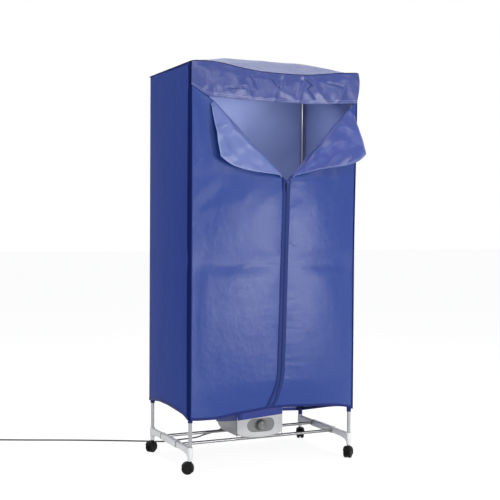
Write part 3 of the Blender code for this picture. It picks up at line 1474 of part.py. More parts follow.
def main():
    """Clears the scene and models the dryer."""
    for made in list(bpy.data.objects):
        bpy.data.objects.remove(made)
    plastic = finish("white_plastic", (0.78, 0.79, 0.80), 0.4)
    steel = finish("chromed_steel", (0.62, 0.63, 0.65), 0.25, 1.0)
    black = finish("black_plastic", (0.012, 0.012, 0.013), 0.45)
    pale = finish("pale_plastic", (0.74, 0.74, 0.73), 0.4)
    grey = finish("grey_plastic", (0.26, 0.25, 0.25), 0.45)
    dark = finish("dark_grey_plastic", (0.17, 0.17, 0.17), 0.5)
    copper = finish("heater_ceramic", (0.35, 0.22, 0.12), 0.6)
    blue = finish("blue_fabric", (0.045, 0.085, 0.36), 0.55)
    navy = finish("navy_tape", (0.012, 0.02, 0.09), 0.6)
    metal = finish("zip_metal", (0.5, 0.5, 0.52), 0.3, 1.0)
    build_base(plastic, steel)
    build_casters(black)
    build_poles(steel)
    build_top_frame(plastic, steel)
    build_heater(pale, grey, dark, steel, copper)
    build_cover(blue, navy)
    build_slider(metal)
    build_cord(black, steel)
    centre_on_origin()


if __name__ == "__main__":
    main()
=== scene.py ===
"""Looks for the covered clothes dryer: cloth, trim, heater, casters and cord around the fixed CAD frame.

Sizes are in metres. Every sub-assembly is worked out round the middle of the tube frame, as its
makers would measure it, and is carried to its place in the row frame when its mesh is finished.
"""

import logging
import math
from collections.abc import Callable, Iterable, Sequence
from dataclasses import dataclass, field
from enum import Enum

import bmesh
import bpy
from mathutils import Matrix, Vector, noise

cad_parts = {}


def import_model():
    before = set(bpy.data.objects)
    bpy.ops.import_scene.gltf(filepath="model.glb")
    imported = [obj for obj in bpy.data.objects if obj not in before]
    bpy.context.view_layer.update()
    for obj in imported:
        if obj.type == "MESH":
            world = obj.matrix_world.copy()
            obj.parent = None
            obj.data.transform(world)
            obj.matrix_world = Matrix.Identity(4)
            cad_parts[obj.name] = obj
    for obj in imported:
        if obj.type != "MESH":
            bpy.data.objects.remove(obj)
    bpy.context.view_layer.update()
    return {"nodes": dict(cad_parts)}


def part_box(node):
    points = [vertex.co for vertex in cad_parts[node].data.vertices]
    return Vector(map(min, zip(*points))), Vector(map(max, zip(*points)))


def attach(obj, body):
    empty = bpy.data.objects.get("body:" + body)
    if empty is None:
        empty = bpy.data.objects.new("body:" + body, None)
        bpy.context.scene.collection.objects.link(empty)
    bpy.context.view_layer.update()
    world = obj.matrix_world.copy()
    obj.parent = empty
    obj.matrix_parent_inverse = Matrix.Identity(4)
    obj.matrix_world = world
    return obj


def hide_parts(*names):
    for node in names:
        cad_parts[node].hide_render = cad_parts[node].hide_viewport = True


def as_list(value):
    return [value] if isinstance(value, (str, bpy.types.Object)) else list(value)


log = logging.getLogger("dryer")

Point = tuple[float, float, float]
Curve = Sequence[tuple[float, float]]
Surface = Callable[[float, float], Vector]
Inputs = dict[str | int, object]


class Slot(Enum):
    """Material slot names that the pieces here are passed, which piece() doesn't read."""

    WHITE_PLASTIC = "white_plastic"
    CHROME = "chromed_steel"
    BLACK_PLASTIC = "black_plastic"
    PALE_PLASTIC = "pale_plastic"
    GREY_PLASTIC = "grey_plastic"
    DARK_PLASTIC = "dark_grey_plastic"
    CLOTH = "blue_fabric"
    TAPE = "navy_tape"


class Side(Enum):
    """Left and right as seen from the front."""

    LEFT = -1
    RIGHT = 1


def mix(low: float, high: float, share: float) -> float:
    """The value a share of the way from low to high."""
    return low + (high - low) * share


def ease(share: float) -> float:
    """0 to 1 with no slope at either end."""
    share = min(max(share, 0.0), 1.0)
    return share * share * (3 - 2 * share)


def steps(count: int) -> list[float]:
    """Even shares from 0 to 1."""
    return [index / count for index in range(count + 1)]


def bell(place: float, middle: float, width: float) -> float:
    """1 at the middle, fading to nothing some widths away."""
    return math.exp(-(((place - middle) / width) ** 2))


def inside(share: float, rate: float, end_rate: float = 0.0) -> float:
    """0 at both ends of a share and 1 between them, rising at a rate, or at another one at the end."""
    return ease(share * rate) * ease((1 - share) * (end_rate or rate))


def through(shares: Curve, place: float) -> float:
    """The value at a place on a smooth curve that doesn't overshoot its points.

    Args:
        shares: Pairs of place and value, in rising order of place.
        place: Where to read the curve.

    Returns:
        The value there.
    """
    if place <= shares[0][0]:
        return shares[0][1]
    if place >= shares[-1][0]:
        return shares[-1][1]
    slopes = [(high - low) / (end - start) for (start, low), (end, high) in zip(shares, shares[1:])]
    tangents = [slopes[0]]
    for before, after in zip(slopes, slopes[1:]):
        tangents.append(0.0 if before * after <= 0 else 2 * before * after / (before + after))
    tangents.append(slopes[-1])
    index = max(number for number, pair in enumerate(shares[:-1]) if pair[0] <= place)
    (start, low), (end, high) = shares[index], shares[index + 1]
    span = end - start
    part = (place - start) / span
    rest = 1 - part
    return (
        low * rest * rest * (1 + 2 * part)
        + high * part * part * (1 + 2 * rest)
        + tangents[index] * span * part * rest * rest
        - tangents[index + 1] * span * part * part * rest
    )


def ripple(x: float, y: float, z: float = 0.0) -> float:
    """Smooth noise from about -1 to 1 at a scaled place."""
    return noise.noise(Vector((x, y, z)))


def crease_noise(x: float, y: float, z: float = 0.0) -> float:
    """Noise with sharp crests, from 0 to 1, as creases in cloth have."""
    return (1 - min(abs(ripple(x, y, z)) * 2.2, 1.0)) ** 2


@dataclass(frozen=True)
class Wave:
    """Unevenness of one scale: its depth, how close it is across and up, and its seed."""

    depth: float
    across: float
    up: float
    seed: float

    def at(self, x: float, y: float, step: float = 0.0) -> float:
        """The unevenness at a place, from a seed that a step moves on."""
        return self.depth * ripple(x * self.across, y * self.up, self.seed + step)


@dataclass(frozen=True)
class Spread:
    """A fold or hollow round one height: its depth, its middle and how far it spreads."""

    depth: float
    middle: float
    width: float

    def at(self, height: float) -> float:
        """Its depth at a height."""
        return self.depth * bell(height, self.middle, self.width)


def colour(red: int, green: int, blue: int) -> tuple[float, float, float, float]:
    """A colour written in sRGB values from 0 to 255, as linear values."""

    def linear(value: int) -> float:
        """One channel as a linear value."""
        share = value / 255
        return share / 12.92 if share <= 0.04045 else ((share + 0.055) / 1.055) ** 2.4

    return (linear(red), linear(green), linear(blue), 1.0)


# Shader nodes


def feed(tree: bpy.types.NodeTree, node: bpy.types.Node, inputs: Inputs) -> None:
    """Sets a node's inputs, each to a value or from another node's socket."""
    for label, value in inputs.items():
        if isinstance(value, bpy.types.NodeSocket):
            tree.links.new(value, node.inputs[label])
        else:
            node.inputs[label].default_value = value


def add(
    tree: bpy.types.NodeTree, kind: str, inputs: Inputs | None = None, **settings: object
) -> bpy.types.Node:
    """A new node.

    Args:
        tree: The tree that it joins.
        kind: Its type, without the part of the name that all shader nodes share.
        inputs: What its inputs are set to or fed from, by name or number.
        settings: Its own properties.

    Returns:
        The node.
    """
    made = tree.nodes.new(f"ShaderNode{kind}")
    for label, value in settings.items():
        setattr(made, label, value)
    feed(tree, made, inputs or {})
    return made


def calculate(
    tree: bpy.types.NodeTree, operation: str, first: object, second: object = 0.0
) -> bpy.types.NodeSocket:
    """A Math node's output, for sockets or numbers."""
    return add(tree, "Math", {0: first, 1: second}, operation=operation).outputs[0]


def blend_colours(
    tree: bpy.types.NodeTree, share: bpy.types.NodeSocket, first: object, second: object
) -> bpy.types.NodeSocket:
    """The colour a share of the way from the first to the second."""
    inputs = {"Factor": share, "A": first, "B": second}
    return add(tree, "Mix", inputs, data_type="RGBA").outputs["Result"]


def new_group(name: str, inputs: Inputs, output: str) -> tuple[bpy.types.NodeTree, bpy.types.NodeInputs]:
    """An empty node group with its sockets.

    Args:
        name: The group's name.
        inputs: The default of each input by name, which also tells the socket's type.
        output: The output's name, "Color" for a colour and any other for a number.

    Returns:
        The group, and the sockets that give its inputs. Its node "out" takes the output.
    """
    kinds = {1: "NodeSocketFloat", 3: "NodeSocketVector", 4: "NodeSocketColor"}
    tree = bpy.data.node_groups.new(name, "ShaderNodeTree")
    for label, value in inputs.items():
        kind = kinds[len(value) if isinstance(value, tuple) else 1]
        tree.interface.new_socket(label, in_out="INPUT", socket_type=kind).default_value = value
    tree.interface.new_socket(output, in_out="OUTPUT", socket_type=kinds[4 if output == "Color" else 1])
    source = tree.nodes.new("NodeGroupInput")
    tree.nodes.new("NodeGroupOutput").name = "out"
    return tree, source.outputs


@dataclass
class Effects:
    """Node groups that several finishes use, each built once."""

    weave: bpy.types.NodeTree = field(init=False)
    mottle: bpy.types.NodeTree = field(init=False)
    grain: bpy.types.NodeTree = field(init=False)
    dust: bpy.types.NodeTree = field(init=False)

    def __post_init__(self) -> None:
        """Builds the groups."""
        self.weave = self.build_weave()
        self.mottle = self.build_mottle()
        self.grain = self.build_grain()
        self.dust = self.build_dust()

    @staticmethod
    def build_weave() -> bpy.types.NodeTree:
        """Height of a plain weave laid along the cloth's own map."""
        tree, source = new_group("woven_threads", {"Thread": 0.0006}, "Height")
        split = add(tree, "SeparateXYZ", {0: add(tree, "UVMap").outputs["UV"]})
        turns = calculate(tree, "DIVIDE", math.pi, source["Thread"])
        warp, weft = (
            calculate(tree, "SINE", calculate(tree, "MULTIPLY", split.outputs[axis], turns)) for axis in "XY"
        )
        over = calculate(tree, "MULTIPLY", warp, weft)
        feed(tree, tree.nodes["out"], {"Height": calculate(tree, "ABSOLUTE", over)})
        return tree

    @staticmethod
    def build_mottle() -> bpy.types.NodeTree:
        """A colour that drifts a little lighter and darker over the piece."""
        inputs = {"Base": (0.5, 0.5, 0.5, 1.0), "Tint": (0.6, 0.6, 0.6, 1.0), "Scale": 6.0, "Amount": 0.3}
        tree, source = new_group("colour_drift", inputs, "Color")
        place = add(tree, "TexCoord").outputs["Object"]
        cloud = add(tree, "TexNoise", {"Vector": place, "Scale": source["Scale"], "Detail": 4.0})
        share = calculate(tree, "MULTIPLY", cloud.outputs["Fac"], source["Amount"])
        paint = blend_colours(tree, share, source["Base"], source["Tint"])
        feed(tree, tree.nodes["out"], {"Color": paint})
        return tree

    @staticmethod
    def build_grain() -> bpy.types.NodeTree:
        """Height of a fine moulded or brushed grain, stretched along any axis."""
        inputs = {"Scale": 900.0, "Stretch": (1.0, 1.0, 1.0), "Roughness": 0.6}
        tree, source = new_group("surface_grain", inputs, "Height")
        place = add(tree, "TexCoord").outputs["Object"]
        stretch = add(tree, "VectorMath", {0: place, 1: source["Stretch"]}, operation="MULTIPLY")
        speck = add(tree, "TexNoise", {"Vector": stretch.outputs[0], "Scale": source["Scale"], "Detail": 3.0})
        feed(tree, speck, {"Roughness": source["Roughness"]})
        feed(tree, tree.nodes["out"], {"Height": speck.outputs["Fac"]})
        return tree

    @staticmethod
    def build_dust() -> bpy.types.NodeTree:
        """A mask of dust that gathers towards the floor."""
        tree, source = new_group("floor_dust", {"Top": 0.05, "Amount": 0.3}, "Mask")
        place = add(tree, "TexCoord").outputs["Object"]
        height = add(tree, "SeparateXYZ", {0: place}).outputs["Z"]
        low = calculate(tree, "SUBTRACT", 1.0, calculate(tree, "DIVIDE", height, source["Top"]))
        low = calculate(tree, "MAXIMUM", low, 0.0)
        cloud = add(tree, "TexNoise", {"Vector": place, "Scale": 160.0, "Detail": 5.0})
        mask = calculate(tree, "MULTIPLY", low, cloud.outputs["Fac"])
        feed(tree, tree.nodes["out"], {"Mask": calculate(tree, "MULTIPLY", mask, source["Amount"])})
        return tree


# Finishes


class Finish:
    """What every finish shares: its material and the nodes that it wires up."""

    @staticmethod
    def start(name: str) -> tuple[bpy.types.Material, bpy.types.NodeTree, bpy.types.Node]:
        """A new material, its node tree and its Principled shader."""
        material = bpy.data.materials.new(name)
        material.use_nodes = True
        tree = material.node_tree
        return material, tree, tree.nodes["Principled BSDF"]

    @staticmethod
    def use(tree: bpy.types.NodeTree, group: bpy.types.NodeTree, **values: object) -> bpy.types.NodeSocket:
        """The output of a node group that is placed with its values."""
        return add(tree, "Group", values, node_tree=group).outputs[0]

    @staticmethod
    def bump(
        tree: bpy.types.NodeTree, height: bpy.types.NodeSocket, depth: float, **under: bpy.types.NodeSocket
    ) -> bpy.types.NodeSocket:
        """A Bump node's normal for a height, over an earlier one that is given as Normal."""
        inputs = {"Strength": 1.0, "Distance": depth, "Height": height, **under}
        return add(tree, "Bump", inputs).outputs["Normal"]


@dataclass(frozen=True)
class ClothFinish(Finish):
    """Coated woven cloth with a soft sheen and fine crumples. Colours are in sRGB values."""

    name: str
    base: tuple[int, int, int]
    tint: tuple[int, int, int]
    roughness: float = 0.46
    specular: float = 0.6
    crumple_depth: float = 0.0012
    crumple_scale: float = 34.0
    thread: float = 0.0007
    weave_depth: float = 0.00006
    drift_scale: float = 7.0
    drift: float = 0.35

    def build(self, effects: Effects) -> bpy.types.Material:
        """The finish as a material."""
        material, tree, shader = self.start(self.name)
        paint = self.use(
            tree, effects.mottle, Base=colour(*self.base), Tint=colour(*self.tint), Scale=self.drift_scale,
            Amount=self.drift,
        )
        crumple = self.use(
            tree, effects.grain, Scale=self.crumple_scale, Stretch=(1.0, 1.0, 0.8), Roughness=0.55
        )
        soft = self.bump(tree, crumple, self.crumple_depth)
        weave = self.use(tree, effects.weave, Thread=self.thread)
        feed(tree, shader, {
            "Base Color": paint, "Roughness": self.roughness, "Specular IOR Level": self.specular,
            "Normal": self.bump(tree, weave, self.weave_depth, Normal=soft),
        })
        return material


@dataclass(frozen=True)
class PlasticFinish(Finish):
    """Moulded plastic with a fine texture, and dust where it is near the floor."""

    name: str
    base: tuple[int, int, int]
    roughness: float = 0.4
    grain_scale: float = 1400.0
    grain_depth: float = 0.00004
    dust: float = 0.0
    dust_top: float = 0.05
    specular: float = 0.5

    def build(self, effects: Effects) -> bpy.types.Material:
        """The finish as a material."""
        material, tree, shader = self.start(self.name)
        base = colour(*self.base)
        lighter = tuple(min(value * 1.12 + 0.004, 1.0) for value in base[:3]) + (1.0,)
        paint = self.use(tree, effects.mottle, Base=base, Tint=lighter, Scale=30.0, Amount=0.8)
        if self.dust:
            mask = self.use(tree, effects.dust, Top=self.dust_top, Amount=self.dust)
            pale, paler = colour(150, 145, 138), colour(175, 170, 160)
            cover = self.use(tree, effects.mottle, Base=pale, Tint=paler, Scale=200.0, Amount=1.0)
            paint = blend_colours(tree, mask, paint, cover)
        grain = self.use(tree, effects.grain, Scale=self.grain_scale, Roughness=0.6)
        feed(tree, shader, {
            "Base Color": paint, "Roughness": self.roughness, "Specular IOR Level": self.specular,
            "Normal": self.bump(tree, grain, self.grain_depth),
        })
        return material


@dataclass(frozen=True)
class MetalFinish(Finish):
    """Plated or enamelled metal with faint drawing marks along its length."""

    name: str
    base: tuple[int, int, int]
    roughness: float = 0.22
    metallic: float = 1.0
    stretch: Point = (1.0, 1.0, 0.02)
    mark_depth: float = 0.00002

    def build(self, effects: Effects) -> bpy.types.Material:
        """The finish as a material."""
        material, tree, shader = self.start(self.name)
        base = colour(*self.base)
        darker = tuple(value * 0.86 for value in base[:3]) + (1.0,)
        marks = self.use(tree, effects.grain, Scale=1500.0, Stretch=self.stretch, Roughness=0.5)
        feed(tree, shader, {
            "Base Color": self.use(tree, effects.mottle, Base=base, Tint=darker, Scale=22.0, Amount=0.5),
            "Roughness": self.roughness, "Metallic": self.metallic,
            "Normal": self.bump(tree, marks, self.mark_depth),
        })
        return material


FINISHES: Sequence[ClothFinish | PlasticFinish | MetalFinish] = (
    ClothFinish("cover_cloth", (21, 56, 136), (26, 62, 147), 0.30, 0.46),
    ClothFinish("side_cloth", (41, 65, 146), (47, 73, 158), 0.60, 0.10),
    ClothFinish("back_cloth", (41, 65, 146), (47, 73, 158), 0.42, 0.6),
    # Painted light: the cloth's inner face, made far lighter than the outer face for the light that shines
    # through the cloth into the cover.
    ClothFinish("cover_lining", (140, 154, 206), (152, 166, 215), 0.55, 0.3),
    # Painted light: the left corner's turned-out inner face, a lighter copy of the cloth for the light that
    # falls on it and shines through it; the right corner's edge tape takes it as a painted highlight.
    ClothFinish("lapel_cloth", (88, 106, 170), (104, 122, 184), 0.33, 0.55, 0.0010, 20.0),
    # Painted highlight: the left corner's edge tape, lighter than its face for the light along the rolled
    # edge.
    ClothFinish("lapel_edge", (128, 144, 200), (150, 164, 212), 0.4, 0.5),
    # Painted shade: the right corner's turned-out inner face, a darker copy of the same cloth as the left
    # one, for the lesser light that falls on it.
    ClothFinish("lapel_right_cloth", (44, 64, 144), (58, 80, 160), 0.30, 0.60, 0.0010, 16.0),
    ClothFinish("header_cloth", (29, 51, 130), (42, 64, 143), 0.29, 0.72, 0.0009, 38.0),
    ClothFinish("top_cloth", (60, 76, 134), (72, 88, 146), 0.26, 0.4),
    ClothFinish("hem_tape", (24, 38, 104), (34, 50, 122), 0.55, 0.2, 0.0003),
    # Navy tape of the front corners and the top piping; its dark band at the front corners is partly the real
    # tape and partly painted shade of the rounded corner.
    ClothFinish("corner_tape", (17, 30, 84), (24, 40, 100), 0.70, 0.03, 0.0002),
    ClothFinish("zip_cloth", (36, 53, 112), (44, 61, 124), 0.55, 0.15, 0.0002),
    ClothFinish("cuff_cloth", (50, 66, 150), (60, 78, 166), 0.5, 0.3),
    ClothFinish("pale_thread", (168, 180, 222), (184, 193, 228), 0.6, crumple_depth=0.0001),
    PlasticFinish("white_moulding", (238, 238, 238), roughness=0.36, dust=0.04, dust_top=0.12),
    PlasticFinish("seam_grey", (138, 139, 141), roughness=0.5),
    PlasticFinish("joint_dark", (62, 62, 64), roughness=0.6),
    PlasticFinish("moulded_mark", (190, 191, 193), roughness=0.4),
    PlasticFinish("caster_black", (13, 13, 14), roughness=0.42, dust=0.05, specular=0.12),
    PlasticFinish("tread_black", (13, 13, 14), roughness=0.6, dust=0.10, dust_top=0.02, specular=0.08),
    PlasticFinish("fascia_pale", (204, 204, 204), roughness=0.36),
    PlasticFinish("case_grey", (182, 181, 181), roughness=0.42),
    PlasticFinish("dial_grey", (122, 123, 123), roughness=0.45),
    PlasticFinish("knob_grey", (106, 107, 104), roughness=0.4),
    PlasticFinish("knob_mark", (225, 226, 228), roughness=0.5),
    PlasticFinish("grille_dark", (70, 72, 76), roughness=0.5),
    PlasticFinish("cord_black", (26, 26, 28), roughness=0.5, grain_scale=700.0),
    PlasticFinish("pull_metal", (36, 46, 96), roughness=0.5, dust=0.05, specular=0.2),
    MetalFinish("pole_chrome", (166, 167, 169), roughness=0.30),
    MetalFinish("bar_chrome", (128, 128, 130), roughness=0.36, stretch=(0.02, 1.0, 1.0)),
    MetalFinish("pin_brass", (200, 196, 186), roughness=0.3),
    MetalFinish("slider_enamel", (30, 42, 100), roughness=0.35, metallic=0.6, stretch=(1.0, 1.0, 1.0)),
    MetalFinish("element_metal", (150, 120, 96), roughness=0.5, metallic=0.7, stretch=(1.0, 1.0, 1.0)),
)


# Mesh tools


def in_scene(name: str, data: bpy.types.ID) -> bpy.types.Object:
    """A new object of that data, linked to the scene."""
    made = bpy.data.objects.new(name, data)
    bpy.context.scene.collection.objects.link(made)
    return made


@dataclass(frozen=True)
class Cut:
    """How a cloth panel is meshed and mapped, its flat size, how it is held and what it rests on."""

    grid: tuple[int, int]
    size: tuple[float, float]
    flat: tuple[float, float]
    held: str
    rests_on: Sequence[str]


@dataclass
class Cloth:
    """A cloth piece with its flat size, how it is held, what it rests on and its area."""

    made: bpy.types.Object
    flat: tuple[float, float]
    held: str
    rests_on: Sequence[str]
    area: float


@dataclass
class Workshop:
    """Turns finished bmeshes into pieces that ride on the CAD bodies."""

    origin: Vector
    finishes: dict[str, bpy.types.Material]
    sharp_angle: float = math.radians(38)
    cloth_wall: float = 0.0009
    cloths: list[Cloth] = field(default_factory=list)
    trims: dict[str, list[bpy.types.Object]] = field(default_factory=dict)

    def piece(
        self,
        name: str,
        shape: bmesh.types.BMesh,
        finishes: Sequence[str],
        body: str,
        slot: Slot,
        replaces: Iterable[str] = (),
        wall: float = 0.0,
        wall_offset: float = -1.0,
        smooth: bool = True,
        matrix: Matrix | None = None,
        sewn_to: str = "",
    ) -> bpy.types.Object:
        """One object of the finished shape, dressed and set on its body.

        Args:
            name: The piece's name.
            shape: The finished shape, round the middle of the frame. It is freed.
            finishes: Names of its materials. With a wall, the second one lines the inside.
            body: The CAD body that it rides on.
            slot: A material slot name. It is not used.
            replaces: CAD nodes that it stands for.
            wall: Thickness to give an open sheet, or 0.
            wall_offset: -1 for a wall inside the sheet's outer face, 0 for one on both sides.
            smooth: Whether faces are shaded smooth up to the sharp angle.
            matrix: Where to carry the shape before it goes to the row frame.
            sewn_to: The cloth piece that it is trim of.

        Returns:
            The object.
        """
        if matrix is not None:
            self.moved(shape, matrix)
        self.moved(shape, Matrix.Translation(self.origin))
        mesh = bpy.data.meshes.new(name)
        shape.to_mesh(mesh)
        shape.free()
        if smooth:
            mesh.shade_smooth()
            mesh.set_sharp_from_angle(angle=self.sharp_angle)
        for finish in finishes:
            mesh.materials.append(self.finishes[finish])
        made = in_scene(name, mesh)
        if wall:
            thick = made.modifiers.new("wall", "SOLIDIFY")
            thick.thickness = wall
            thick.offset = wall_offset
            thick.use_even_offset = True
            thick.material_offset = 1 if len(finishes) > 1 else 0
            thick.material_offset_rim = 0
        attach(made, body)
        if replaces:
            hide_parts(*replaces)
        if sewn_to:
            self.trims.setdefault(sewn_to, []).append(made)
        log.info("%s: %d faces on %s", name, len(mesh.polygons), body)
        return made

    def panel(
        self,
        name: str,
        surface: Surface,
        cut: Cut,
        outward: Point,
        finish: str,
        node: str,
        inner_finish: str = "cover_lining",
        body: str = "dryer",
    ) -> bpy.types.Object:
        """A walled cloth panel, noted for its declaration with the area of its cut.

        Args:
            name: The panel's name.
            surface: Its outer face. It is also read coarsely for the area.
            cut: Its mesh and map, and how it is held.
            outward: A direction that the outer face looks towards.
            finish: The outer material's name.
            node: The CAD node that it stands for.
            inner_finish: The inner material's name.
            body: The CAD body that it rides on.

        Returns:
            The object.
        """
        made = self.piece(
            name, self.sheet(*cut.grid, surface, cut.size, outward), [finish, inner_finish], body, Slot.CLOTH,
            replaces=[node], wall=self.cloth_wall,
        )
        area, count = 0.0, 24
        grid = [[surface(column, row) for column in steps(count)] for row in steps(count)]
        for low, high in zip(grid, grid[1:]):
            for a, b, c, d in zip(low, low[1:], high[1:], high):
                area += (b - a).cross(c - a).length / 2 + (c - a).cross(d - a).length / 2
        area = min(area, cut.flat[0] * cut.flat[1])
        self.cloths.append(Cloth(made, cut.flat, cut.held, cut.rests_on, area))
        return made

    @staticmethod
    def sheet(
        columns: int, rows: int, surface: Surface, size: tuple[float, float], outward: Point
    ) -> bmesh.types.BMesh:
        """A sheet laid on a surface, with a map in metres for its weave.

        Args:
            columns: Faces across.
            rows: Faces up.
            surface: Gives the point for a share across and a share up.
            size: Cut width and height, for the map.
            outward: A direction that the sheet's outer face looks towards.

        Returns:
            The open sheet.
        """
        shape = bmesh.new()
        lay = shape.loops.layers.uv.new("cloth")
        bmesh.ops.create_grid(shape, x_segments=columns, y_segments=rows, size=0.5, calc_uvs=True)
        for vertex in shape.verts:
            vertex.co = surface(vertex.co.x + 0.5, vertex.co.y + 0.5)
        for face in shape.faces:
            for loop in face.loops:
                loop[lay].uv = (loop[lay].uv.x * size[0], loop[lay].uv.y * size[1])
        shape.normal_update()
        aim = Vector(outward)
        if sum(face.normal.dot(aim) * face.calc_area() for face in shape.faces) < 0:
            bmesh.ops.reverse_faces(shape, faces=shape.faces)
        return shape

    @staticmethod
    def turned(outline: Curve, sides: int) -> bmesh.types.BMesh:
        """A turned shape about Z from its (radius, height) outline.

        Args:
            outline: The outline. It is closed on itself unless it starts on the axis.
            sides: Steps of the full turn.

        Returns:
            The closed shape.
        """
        shape = bmesh.new()
        points = [shape.verts.new((radius, 0, height)) for radius, height in outline]
        pairs = list(zip(points, points[1:]))
        if outline[0][0] > 0:
            pairs.append((points[-1], points[0]))
        edges = [shape.edges.new(pair) for pair in pairs]
        bmesh.ops.spin(
            shape, geom=points + edges, cent=(0, 0, 0), axis=(0, 0, 1), angle=math.tau, steps=sides,
            use_merge=True,
        )
        bmesh.ops.remove_doubles(shape, verts=shape.verts, dist=0.00001)
        bmesh.ops.recalc_face_normals(shape, faces=shape.faces)
        return shape

    @staticmethod
    def swept(points: Sequence[Vector], profile: Curve, up: Point) -> bmesh.types.BMesh:
        """A profile swept along points that lead round to their own start.

        Args:
            points: The path.
            profile: The section as (across, up) points.
            up: The direction that the section's own up leans to.

        Returns:
            The closed shape.
        """
        shape, rings = bmesh.new(), []
        for index, point in enumerate(points):
            along = (points[(index + 1) % len(points)] - points[index - 1]).normalized()
            side = along.cross(Vector(up)).normalized()
            over = side.cross(along)
            rings.append([shape.verts.new(point + side * across + over * rise) for across, rise in profile])
        for ring, fresh in zip(rings, rings[1:] + rings[:1]):
            for face in zip(ring, fresh, fresh[1:] + fresh[:1], ring[1:] + ring[:1]):
                shape.faces.new(face)
        bmesh.ops.recalc_face_normals(shape, faces=shape.faces)
        return shape

    @staticmethod
    def round_profile(radius: float, sides: int) -> list[tuple[float, float]]:
        """A round section."""
        angles = [math.tau * number / sides for number in range(sides)]
        return [(radius * math.cos(angle), radius * math.sin(angle)) for angle in angles]

    def cad_box(self, node: str) -> tuple[Vector, Vector]:
        """The two corners of a CAD node's box, round the middle of the frame."""
        low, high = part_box(node)
        return Vector(low) - self.origin, Vector(high) - self.origin

    def declare(self) -> None:
        """Logs every cloth piece with how it is held and how many trim pieces are sewn to it."""
        for cloth in self.cloths:
            sewn = self.trims.get(cloth.made.name, [])
            list(cloth.rests_on)
            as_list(sewn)
            log.info("%s: %s, with %d trim pieces", cloth.made.name, cloth.held, len(sewn))

    @staticmethod
    def box(shape: bmesh.types.BMesh, low: Point, high: Point, turn: Matrix | None = None) -> None:
        """Adds a block between two corners to a shape, turned about the shape's origin."""
        size = [end - start for start, end in zip(low, high)]
        middle = [(end + start) / 2 for start, end in zip(low, high)]
        place = Matrix.Translation(middle) @ Matrix.Diagonal((*size, 1.0))
        bmesh.ops.create_cube(shape, size=1.0, matrix=place if turn is None else turn @ place)

    @staticmethod
    def moved(shape: bmesh.types.BMesh, matrix: Matrix) -> bmesh.types.BMesh:
        """The shape, carried by a matrix."""
        bmesh.ops.transform(shape, matrix=matrix, verts=shape.verts)
        return shape

    @staticmethod
    def merged(shapes: Iterable[bmesh.types.BMesh]) -> bmesh.types.BMesh:
        """Several shapes as one, which keeps their parts apart."""
        whole = bmesh.new()
        for shape in shapes:
            mesh = bpy.data.meshes.new("part")
            shape.to_mesh(mesh)
            shape.free()
            whole.from_mesh(mesh)
            bpy.data.meshes.remove(mesh)
        return whole


# Cover


